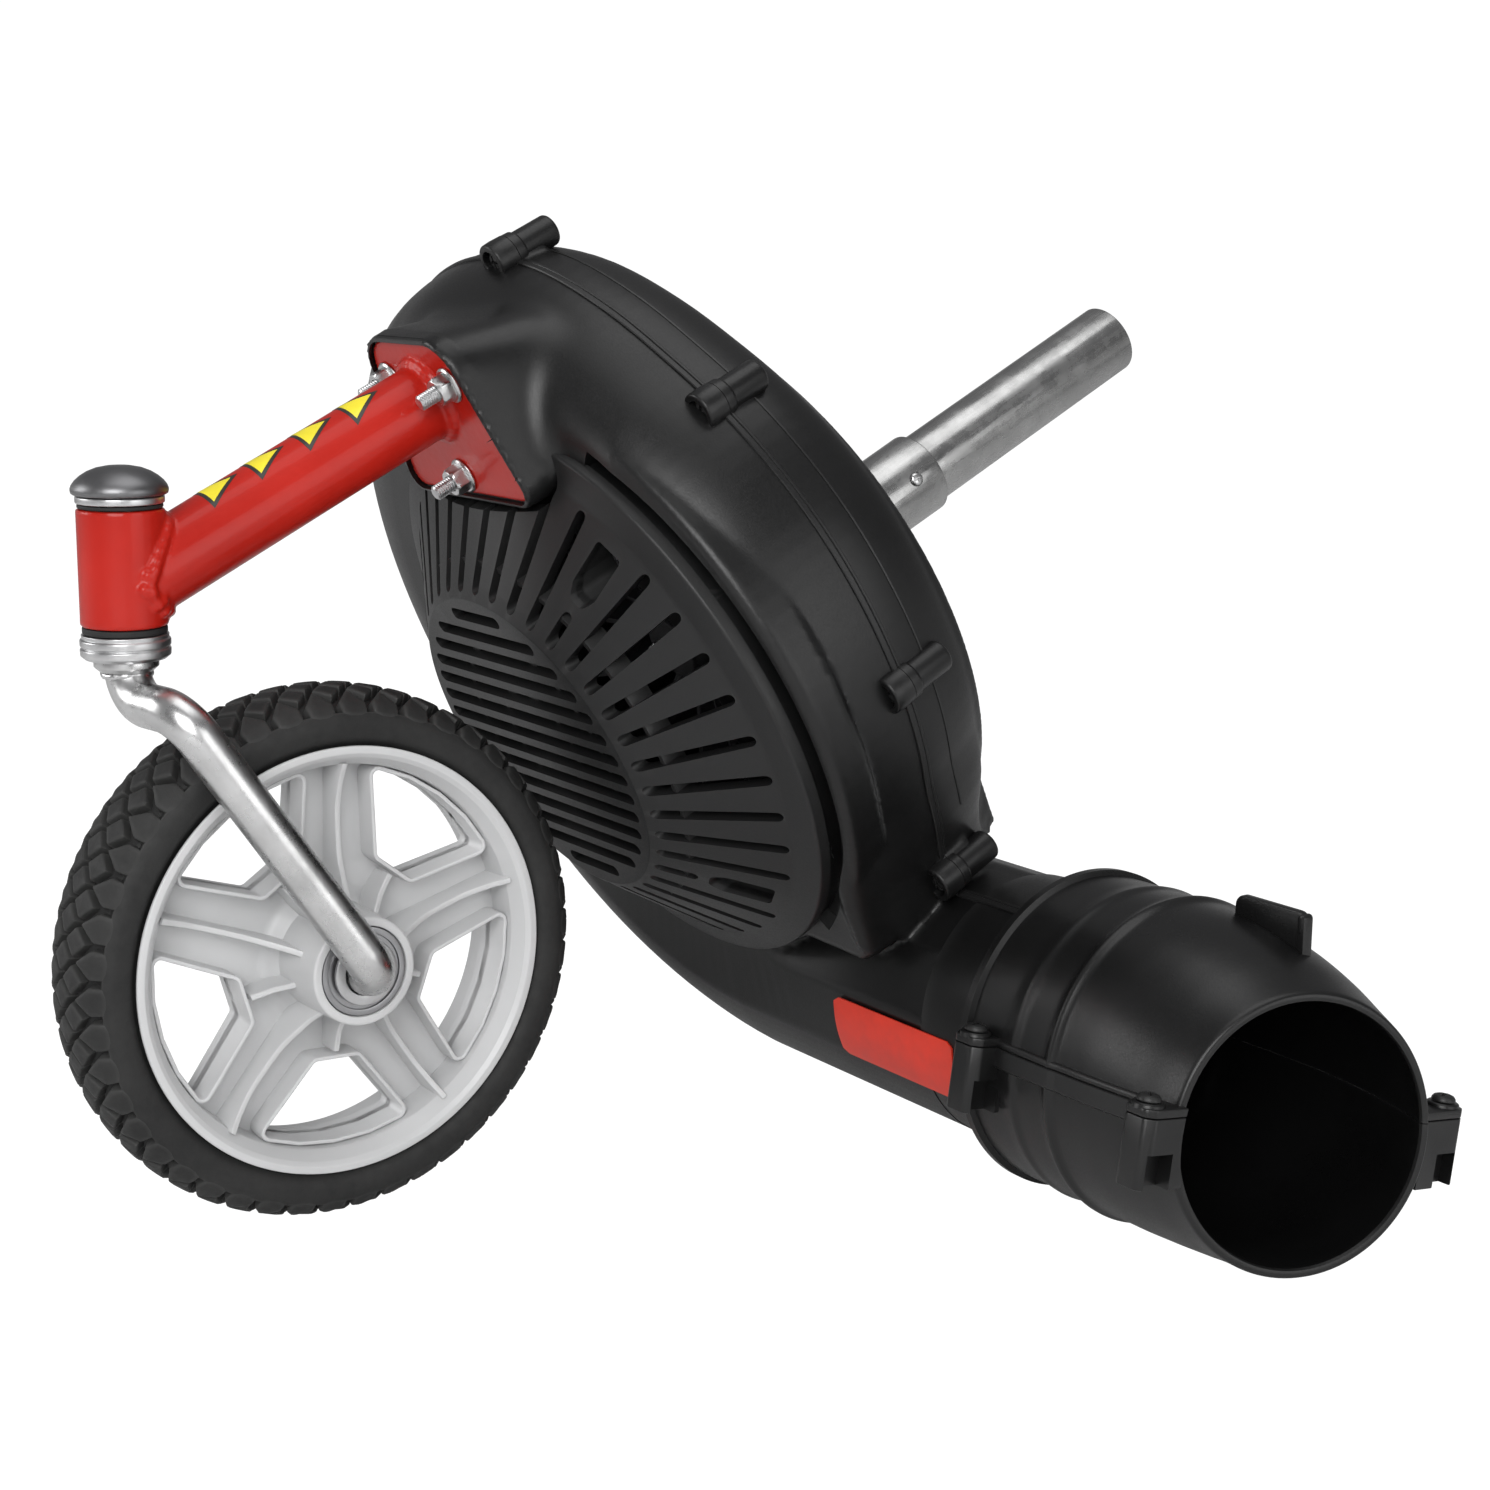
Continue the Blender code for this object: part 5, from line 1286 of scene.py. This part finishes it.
# concentric stiffening rings behind the bars and behind the slots
for r0, r1, a0, a1 in ((21.0, 23.4, PANEL_A + 4.0, PANEL_A + 11.0), (43.0, 45.4, PANEL_A + 4.0, PANEL_A + 11.0),
                       (77.0, 79.6, -75.5, -66.0), (97.0, 99.0, -58.5, -50.5)):
    if r0 < 90:
        gparts.append(lathe('rg', [(r0, a0), (r1, a0), (r1, a1), (r0, a1)], 120, FAN, 'Y'))
GS = []
for kk in POCK:
    a = math.radians(SLOT_PHASE + 360.0 / SLOTS * kk)
    GS.append((97.5 * math.cos(a), 97.5 * math.sin(a)))
    M = FAN @ Matrix.Rotation(-a, 4, 'Y')
    o_ = rnd([(109.6, -7.8, 2.6), (109.6, 7.8, 2.6), (91.5, 7.6, 4.0), (85.4, 4.4, 4.0), (85.4, -4.4, 4.0), (91.5, -7.6, 4.0)], 5)
    i_ = rnd([(108.0, -6.2, 1.6), (108.0, 6.2, 1.6), (92.0, 6.0, 3.0), (87.0, 3.2, 3.0), (87.0, -3.2, 3.0), (92.0, -6.0, 3.0)], 5)
    # pocket walls follow the cone face, with a floor holding the screw
    secs = []
    for (ox, oz), (ix, iz) in zip(o_, i_):
        def top(x):
            return -79.0 + (x - 73.0) * 0.665 + 1.4
        secs.append([(ox, top(ox) + 0.8, oz), (ox, GB, oz), (ix, GB, iz), (ix, top(ix), iz)])
    gparts.append(loft('pw', secs, M, closed=True))
    gparts.append(prism('pf', o_, -47.6, GB, M, 'XZ'))
    gparts.append(lathe('pb', rnd([(2.6, -49.0), (5.4, -49.0, 0.4), (5.6, -47.0), (2.6, -47.0)], 3), 32, FAN @ TR((GS[-1][0], 0, GS[-1][1])), 'Y'))
grille = join('grille_j', gparts)
final(grille, 'intake_grille_v', M_GRILLE, 'head', ('intake_grille',), 32)
for i, (x, z) in enumerate(GS):
    ob = panhead('s', FAN @ TR((x, 0, z)) @ Matrix.Rotation(0.8 * i, 4, 'Y'), 'Y', -51.4, -49.2, 4.2, -37.0, 2.0)
    final(ob, 'grille_screw_%d_v' % (i + 1), M_STEEL, 'head', ('grille_screw_%d' % (i + 1),), 30)

# ------------------------------------------------------------------ impeller and drive parts
imp_prof = rnd([(4.3, -14.0), (14.0, -14.0, 1.0), (17.0, 14.0, 4.0), (26.0, 20.6, 6.0), (112.0, 22.0, 0.6), (112.0, 24.6, 0.6), (24.0, 24.6, 1.0), (18.0, 28.0, 1.0),
                (4.3, 28.0)], 4)
iparts = [lathe('i', imp_prof, 120, FAN, 'Y')]
f_top = pchip([15, 40, 75, 112], [-8, -22, -30, -24])
for k in range(9):
    a0 = 2 * PI * k / 9
    lo_l, hi_l = [], []
    P, Q = [], []
    for i in range(15):
        t = i / 14.0
        r = 15.5 + 94.5 * t
        a = a0 - 0.55 * t * t
        P.append(((r) * math.cos(a) - 1.3 * math.sin(a), r * math.sin(a) + 1.3 * math.cos(a), r))
        Q.append(((r) * math.cos(a) + 1.3 * math.sin(a), r * math.sin(a) - 1.3 * math.cos(a), r))
    ol = P + Q[::-1]
    iparts.append(loft('bl', [[(x, 23.0, z) for x, z, r in ol], [(x, f_top(r), z) for x, z, r in ol]], FAN))
ob = join('imp_j', iparts)
final(ob, 'impeller_v', M_NYLON, 'rotor', ('impeller',), 35)
ob = hexnut('in', 11.4, -21.0, -14.3, 4.3, FAN, 'Y', 0.9)
final(ob, 'impeller_nut_v', M_ZINC, 'rotor', ('impeller_nut',), 28)
ob = lathe('ds', rnd([(0, -24.5), (4.0, -24.5, 0.6), (4.0, 238.6, 0.6), (0, 238.6)], 3), 40, FAN, 'Y')
final(ob, 'drive_shaft_v', M_STEEL, 'rotor', ('drive_shaft',), 30)
for nm, a0, ro in (('shaft_bearing_front', 31.0, 13.4), ('shaft_bearing_rear', 226.0, 13.65)):
    ob = lathe(nm + 'v', rnd([(4.35, a0, 0.2), (7.0, a0, 0.3), (7.0, a0 + 0.7), (ro - 2.6, a0 + 0.7), (ro - 2.6, a0, 0.3), (ro, a0, 0.4), (ro, a0 + 8, 0.4),
                              (ro - 2.6, a0 + 8, 0.3), (ro - 2.6, a0 + 7.3), (7.0, a0 + 7.3), (7.0, a0 + 8, 0.3), (4.35, a0 + 8, 0.2)], 3), 64, FAN, 'Y')
    final(ob, nm + '_ring', M_STEEL, 'head', (nm,), 30)
# bearing carrier: machined flange, ribbed cone and tube socket
car = lathe('car', rnd([(13.8, 30.6), (26.6, 30.6, 0.4), (26.6, 38.3), (45.0, 38.3, 0.3), (45.0, 42.6, 0.8), (31.0, 43.8, 4.0), (22.4, 58.0, 6.0), (21.0, 74.0, 0.8),
                        (15.9, 74.0, 0.5), (15.9, 49.6), (9.0, 49.6), (9.0, 39.4), (13.8, 39.4)], 4), 96, FAN, 'Y')
CS = [(36.0 * math.cos(math.radians(a)), 36.0 * math.sin(math.radians(a))) for a in (30, 150, 270)]
cparts = [car]
for k in range(6):
    M = FAN @ Matrix.Rotation(math.radians(60 * k), 4, 'Y')
    cparts.append(prism('cr', [(20.5, 66.0), (21.5, 66.0), (32.0, 47.5), (42.0, 42.2), (20.5, 42.2)], -1.5, 1.5, M, 'XY', ch=0.4))
ob = join('car_j', cparts)
final(ob, 'bearing_carrier_v', M_ALLOY, 'head', ('bearing_carrier',), 32)
for i, (x, z) in enumerate(CS):
    ob = panhead('s', FAN @ TR((x, 0, z)), 'Y', 50.4, 46.6, 4.2, 33.0, 2.4)
    final(ob, 'carrier_screw_%d_v' % (i + 1), M_ZINC, 'head', ('carrier_screw_%d' % (i + 1),), 30)
ob = lathe('dt', rnd([(14.0, 50.0), (15.5, 50.0, 0.3), (15.5, 250.0, 0.5), (14.0, 250.0, 0.5)], 4), 96, FAN, 'Y')
final(ob, 'drive_tube_v', M_TUBE, 'head', ('drive_tube',), 30)
col = lathe('co', rnd([(15.75, 76.0), (17.7, 76.0, 0.5), (17.9, 129.4, 0.7), (15.75, 129.4)], 4), 96, FAN, 'Y')
cut(col, prism('sl', [(-0.8, 10.0), (0.8, 10.0), (0.8, 22.0), (-0.8, 22.0)], 70.0, 140.0, FAN @ Matrix.Rotation(math.radians(200), 4, 'Y')))
SM = FAN @ Matrix.Rotation(math.radians(-20), 4, 'Y') @ TR((0, 116.0, 0)) @ Matrix.Rotation(PI / 2, 4, 'Y')
cut(col, lathe('cs', [(0, 14.0), (2.9, 14.0), (2.9, 17.4), (4.0, 18.6), (0, 18.6)], 32, SM))
final(col, 'tube_collar_v', M_TUBE, 'head', ('tube_collar',), 30)
ob = panhead('cs', SM, 'Z', 18.9, 17.6, 2.75, 15.9, 2.4)
final(ob, 'collar_screw_v', M_ZINC, 'head', ('collar_screw',), 30)

# ------------------------------------------------------------------ outlet nozzle
MOUTH = Vector((282.0, 60.6, 66.6))
MC = NM.inverted() @ MOUTH
MN = (NM.to_3x3().inverted() @ Vector((math.cos(math.radians(17)), -math.sin(math.radians(17)), 0.09))).normalized()


def noz_frame(x):
    t = max(0.0, min(1.0, (x - 205.0) / (MOUTH.x - 205.0)))
    e = t * t
    c = Vector((x, MC.y * e, MC.z * e))
    d = Vector((1, 0, 0)).lerp(MN, t).normalized()
    u = Vector((0, 0, 1))
    u = (u - d * u.dot(d)).normalized()
    return c, d, u, d.cross(u)


def seam_angles(x, r, z):
    """The two ring angles where the skin of radius r crosses local height z."""
    c, d, u, w = noz_frame(x)
    R = math.hypot(u.z * r, w.z * r)
    a0 = math.atan2(w.z * r, u.z * r)
    ph = math.acos(max(-1.0, min(1.0, (z - c.z) / R)))
    return a0, ph


def noz_pt(x, r, a):
    c, d, u, w = noz_frame(x)
    return c + (u * math.cos(a) + w * math.sin(a)) * r


f_noz = pchip([160, 186, 206, 228, 244, 260, 274, 282], [60.0, 60.2, 60.4, 59.6, 57.8, 54.9, 51.6, 50.0])


def noz_r(x):
    r = f_noz(x)
    for c0, h, w in ((187.5, 0.8, 2.4), (208.5, 1.6, 2.5)):
        r += h * math.exp(-((x - c0) / w) ** 2)
    if x < 164.2:
        r += 2.0 * min(1.0, (164.4 - x) / 0.8)
    return r


xs = [160.0, 160.5, 161.5, 163.0, 163.6, 164.0, 164.5, 165.5, 166.5, 167.4, 168.2, 169.0, 170.0]
x = 171.5
while x < 281.0:
    xs.append(x)
    x += 1.25 if 184 < x < 214 else 3.0
xs += [281.3]


def noz_half(upper):
    """One moulded half: outer skin, rolled mouth edge, inner skin, between the seam planes."""
    n = 96
    outline = [(xx, noz_r(xx) - (0.5 if xx == 160.0 else 0.0)) for xx in xs]
    lipx = MOUTH.x
    outline += [(lipx, 49.7), (lipx + 0.3, 49.2), (lipx + 0.35, 48.0), (lipx + 0.1, 47.2), (lipx - 0.8, 46.8)]
    outline += [(275.0, 48.9), (260, 51.8), (244, 54.6), (228, 56.4), (205, 57.0), (164.8, 56.8), (164.2, 53.7), (160.0, 53.7)]
    ang = []
    for xx, r in outline:
        a0, ph = seam_angles(xx, r, 0.15 if upper else -0.15)
        ang.append((a0 - ph, a0 + ph) if upper else (a0 + ph, a0 - ph + 2 * PI))
    secs = []
    for k in range(n + 1):
        t = k / n
        secs.append([noz_pt(xx, r, p + (q - p) * t) for (xx, r), (p, q) in zip(outline, ang)])
    return loft('nh', secs, NM)


up_parts, lo_parts = [noz_half(True)], [noz_half(False)]


def on_skin(x, r, z, side_, lift):
    """Point on the outer skin at local height z, on the side given by the sign of local y, pushed out by lift."""
    c, d, u, w = noz_frame(x)
    a0, ph = seam_angles(x, r, z)
    best = None
    for a in (a0 - ph, a0 + ph):
        v = u * math.cos(a) + w * math.sin(a)
        if v.y * side_ > 0:
            best = c + v * (r + lift)
    return best


def seam_strip(side_, z0, z1, proud, x0, x1):
    """Rib hugging the seam line on one side."""
    secs = []
    for i in range(57):
        xx = x0 + (x1 - x0) * i / 56
        ends = min(1.0, min(i, 56 - i) / 1.5)
        r = noz_r(xx) if not 184 < xx < 213 else f_noz(xx) + 0.4
        sg = math.copysign(1, z1 - z0)
        cs = []
        for zz, k in ((z0, -1.4), (z0, proud * 0.8), (z0 + 0.35 * sg, proud), (z1 - 0.7 * sg, proud), (z1, proud * 0.55), (z1 + 0.5 * sg, -1.4)):
            cs.append(on_skin(xx, r, zz, side_, k if k < 0 else k * ends + 0.02))
        secs.append(cs)
    return loft('ss', secs, NM)


for sd in (-1, 1):
    lo_parts.append(seam_strip(sd, -0.2, -7.6, 1.5, 161.0, 279.0))
    up_parts.append(seam_strip(sd, 0.2, 2.4, 1.1, 161.0, 279.5))
# solid filling the air way up to the middle of the wall, to trim the lug blocks against
core_s = []
for xx in [150.0] + list(range(162, 283, 8)) + [300.0]:
    q = min(max(xx, 160.0), 282.0)
    core_s.append([noz_pt(q, f_noz(q) - 1.6, 2 * PI * k / 72) + Vector((xx - q, 0, 0)) for k in range(72)])
LUGS = [(173.5, -1, 66.0, 10.0), (263.0, -1, 67.0, 14.0), (173.5, 1, 66.0, 10.0), (287.5, 1, 56.0, 17.0)]
for x, sg, dd, reach in LUGS:
    M = NM @ TR((x, sg * dd, 0))
    # flange ears either side of the seam
    ear = rnd([(-7.0, -reach * sg), (7.0, -reach * sg), (7.0, 2.0 * sg, 2.4), (4.4, 5.6 * sg, 2.6), (-4.4, 5.6 * sg, 2.6), (-7.0, 2.0 * sg, 2.4)], 6)
    eu = prism('ear', ear, 0.15, 3.1, M, 'XY', ch=0.5)
    dome = lathe('dome', rnd([(0, 2.4), (6.0, 2.4), (5.6, 4.5, 0.9), (0, 4.5)], 4), 40, M)
    add(eu, dome)
    lo_ = prism('blk', ear, -25.0, -0.15, M, 'XY', ch=0.6)
    cut(eu, loft('core', core_s, NM))
    cut(lo_, loft('core', core_s, NM))
    hole = [(0, -14.0), (2.5, -14.0), (2.5, 12.0), (0, 12.0)]
    cut(eu, lathe('h', hole, 32, M))
    cut(lo_, lathe('h', hole, 32, M))
    cut(lo_, prism('slot', [(1.0, -8.0 * sg), (9.0, -8.0 * sg), (9.0, 3.2 * sg), (1.0, 3.2 * sg)], -30.0, -12.5, M, 'XY'))
    up_parts.append(eu)
    lo_parts.append(lo_)
# thumb tab
TM = NM @ Matrix.Rotation(math.radians(8), 4, 'X')
tab_o = rnd([(224.5, 55.8), (257.5, 48.6), (257.5, 65.3, 4.0), (224.5, 65.3, 4.0)], 8)
up_parts.append(prism('tab', tab_o, 12.2, 15.8, TM, 'XZ', ch=0.7))
up_parts.append(prism('tabrib', rnd([(254.6, 50.4), (257.9, 49.4), (257.9, 64.6, 1.6), (254.6, 64.6, 1.6)], 4), 11.6, 16.4, TM, 'XZ', ch=0.6))
ob = join('up_j', up_parts)
final(ob, 'nozzle_upper_v', M_NOZ, 'nozzle', ('nozzle_upper',), 36)
ob = join('lo_j', lo_parts)
final(ob, 'nozzle_lower_v', M_NOZ, 'nozzle', ('nozzle_lower',), 36)
for i, (x, sg, dd, reach) in enumerate(LUGS):
    ob = panhead('ns', NM @ TR((x, sg * dd, 0)) @ Matrix.Rotation(0.6 * i + 0.3, 4, 'Z'), 'Z', 7.2, 4.9, 4.3, -11.0, 2.1)
    final(ob, 'nozzle_screw_%d_v' % (i + 1), M_BLACK_SCREW, 'nozzle', ('nozzle_screw_%d' % (i + 1),), 30)

# ------------------------------------------------------------------ plain red label on the duct
DM = Matrix.Translation((0, DUCT_C.y, DUCT_C.z))
secs = []
xs_l = [74.0 + 73.0 * i / 24 for i in range(25)]
for i, xx in enumerate(xs_l):
    e = min(xx - 74.0, 147.0 - xx)
    k = max(0.0, 1 - e / 2.0)
    inset = 2.0 * (1 - math.sqrt(max(0.0, 1 - k * k))) / DUCT_R
    a0, a1 = math.radians(-1.0) - inset, math.radians(-28.5) + inset
    cs = []
    for r in (DUCT_R + 0.02, DUCT_R + 0.75):
        rr = [a0 + (a1 - a0) * q / 16 for q in range(17)]
        if r > DUCT_R + 0.1:
            rr = rr[::-1]
        cs += [(xx, -r * math.cos(a), r * math.sin(a)) for a in rr]
    secs.append(cs)
ob = loft('lab', secs, DM)
final(ob, 'duct_label_film', M_LABEL, 'head', ('duct_label',), 40)

# ------------------------------------------------------------------ CAD nodes that stay: bushes and spacer
for n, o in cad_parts.items():
    if n in ('head_bush_lower', 'head_bush_upper'):
        mt = M_NYLON
    elif n in ('wheel_spacer',):
        mt = M_STEEL
    else:
        continue
    for s_ in o.material_slots:
        s_.material = mt
    if not o.material_slots:
        o.data.materials.append(mt)

# ------------------------------------------------------------------ floor, light, camera
bm = bmesh.new()
bmesh.ops.create_grid(bm, x_segments=8, y_segments=8, size=6.0)
me = bpy.data.meshes.new('floor')
bm.to_mesh(me)
bm.free()
floor = bpy.data.objects.new('floor', me)
COLL.objects.link(floor)
floor.location = (0, 0, -0.0005)
fm, nt, b, tc = mat_base('pale_floor', (0.86, 0.86, 0.86), 0.0, 0.75, spec=0.2)
fcol = ramp(nt, nz(nt, tc.outputs['Object'], 3.0, 3.0), [(0.3, (0.82, 0.82, 0.82)), (0.7, (0.84, 0.84, 0.84))])
nt.links.new(fcol, b.inputs['Base Color'])
lp = nt.nodes.new('ShaderNodeLightPath')
em = nt.nodes.new('ShaderNodeEmission')
em.inputs['Color'].default_value = (1, 1, 1, 1)
em.inputs['Strength'].default_value = 1.2
mxs = nt.nodes.new('ShaderNodeMixShader')
sc_ = nt.nodes.new('ShaderNodeMath')
sc_.operation = 'MULTIPLY'
sc_.inputs[1].default_value = 0.86
nt.links.new(lp.outputs['Is Camera Ray'], sc_.inputs[0])
nt.links.new(sc_.outputs[0], mxs.inputs[0])
nt.links.new(b.outputs[0], mxs.inputs[1])
nt.links.new(em.outputs[0], mxs.inputs[2])
nt.links.new(mxs.outputs[0], nt.nodes['Material Output'].inputs['Surface'])
me.materials.append(fm)

world = bpy.data.worlds.new('studio')
SC.world = world
world.use_nodes = True
wn = world.node_tree
bg = wn.nodes['Background']
tcw = wn.nodes.new('ShaderNodeTexCoord')
sep = wn.nodes.new('ShaderNodeSeparateXYZ')
wn.links.new(tcw.outputs['Generated'], sep.inputs['Vector'])
wr = wn.nodes.new('ShaderNodeValToRGB')
wr.color_ramp.elements[0].position = 0.0
wr.color_ramp.elements[0].color = (0.5, 0.5, 0.5, 1)
wr.color_ramp.elements[1].position = 1.0
wr.color_ramp.elements[1].color = (0.32, 0.32, 0.325, 1)
q = wr.color_ramp.elements.new(0.35)
q.color = (0.16, 0.16, 0.163, 1)
wn.links.new(sep.outputs['Z'], wr.inputs['Fac'])
wn.links.new(wr.outputs['Color'], bg.inputs['Color'])
bg.inputs['Strength'].default_value = 1.0
bgw = wn.nodes.new('ShaderNodeBackground')
bgw.inputs['Color'].default_value = (1, 1, 1, 1)
bgw.inputs['Strength'].default_value = 1.05
lpw = wn.nodes.new('ShaderNodeLightPath')
mxw = wn.nodes.new('ShaderNodeMixShader')
wn.links.new(lpw.outputs['Is Camera Ray'], mxw.inputs[0])
wn.links.new(bg.outputs[0], mxw.inputs[1])
wn.links.new(bgw.outputs[0], mxw.inputs[2])
wn.links.new(mxw.outputs[0], wn.nodes['World Output'].inputs['Surface'])


def area(name, loc, target, size, power, size_y=None):
    ld = bpy.data.lights.new(name, 'AREA')
    ld.energy = power
    ld.size = size
    if size_y:
        ld.shape = 'RECTANGLE'
        ld.size_y = size_y
    lo_ = bpy.data.objects.new(name, ld)
    COLL.objects.link(lo_)
    lo_.location = loc
    v = Vector(target) - Vector(loc)
    lo_.rotation_mode = 'QUATERNION'
    lo_.rotation_quaternion = v.to_track_quat('-Z', 'Y')
    lo_.visible_camera = False
    return lo_


area('key', (1.25, -1.15, 1.0), (0.0, -0.03, 0.15), 1.1, 25.0)
area('top', (0.15, 0.1, 2.0), (0.0, 0.0, 0.2), 1.3, 9.0)
area('fill', (1.9, 0.5, 0.6), (0.0, 0.0, 0.15), 1.2, 8.0)
area('left', (-1.2, -1.7, 0.9), (0.0, -0.1, 0.15), 1.0, 13.0)

cam_d = bpy.data.cameras.new('camera')
cam = bpy.data.objects.new('camera', cam_d)
COLL.objects.link(cam)
az, el, ro = math.radians(54.59), math.radians(11.56), math.radians(0.58)
back = Vector((math.sin(az) * math.cos(el), -math.cos(az) * math.cos(el), math.sin(el)))
right = Vector((math.cos(az), math.sin(az), 0.0))
upv = back.cross(right)
rr_ = right * math.cos(ro) + upv * math.sin(ro)
uu_ = upv * math.cos(ro) - right * math.sin(ro)
CP = (Vector((823.34, -560.16, 365.23)) - FOOT) * 0.001
cam.matrix_world = Matrix(((rr_.x, uu_.x, back.x, CP.x), (rr_.y, uu_.y, back.y, CP.y), (rr_.z, uu_.z, back.z, CP.z), (0, 0, 0, 1)))
cam_d.sensor_width = 36.0
cam_d.lens = 2467.67 * 36.0 / 1490.0
cam_d.clip_start, cam_d.clip_end = 0.01, 50.0
SC.camera = cam
SC.view_settings.view_transform = 'Standard'
SC.view_settings.look = 'None'
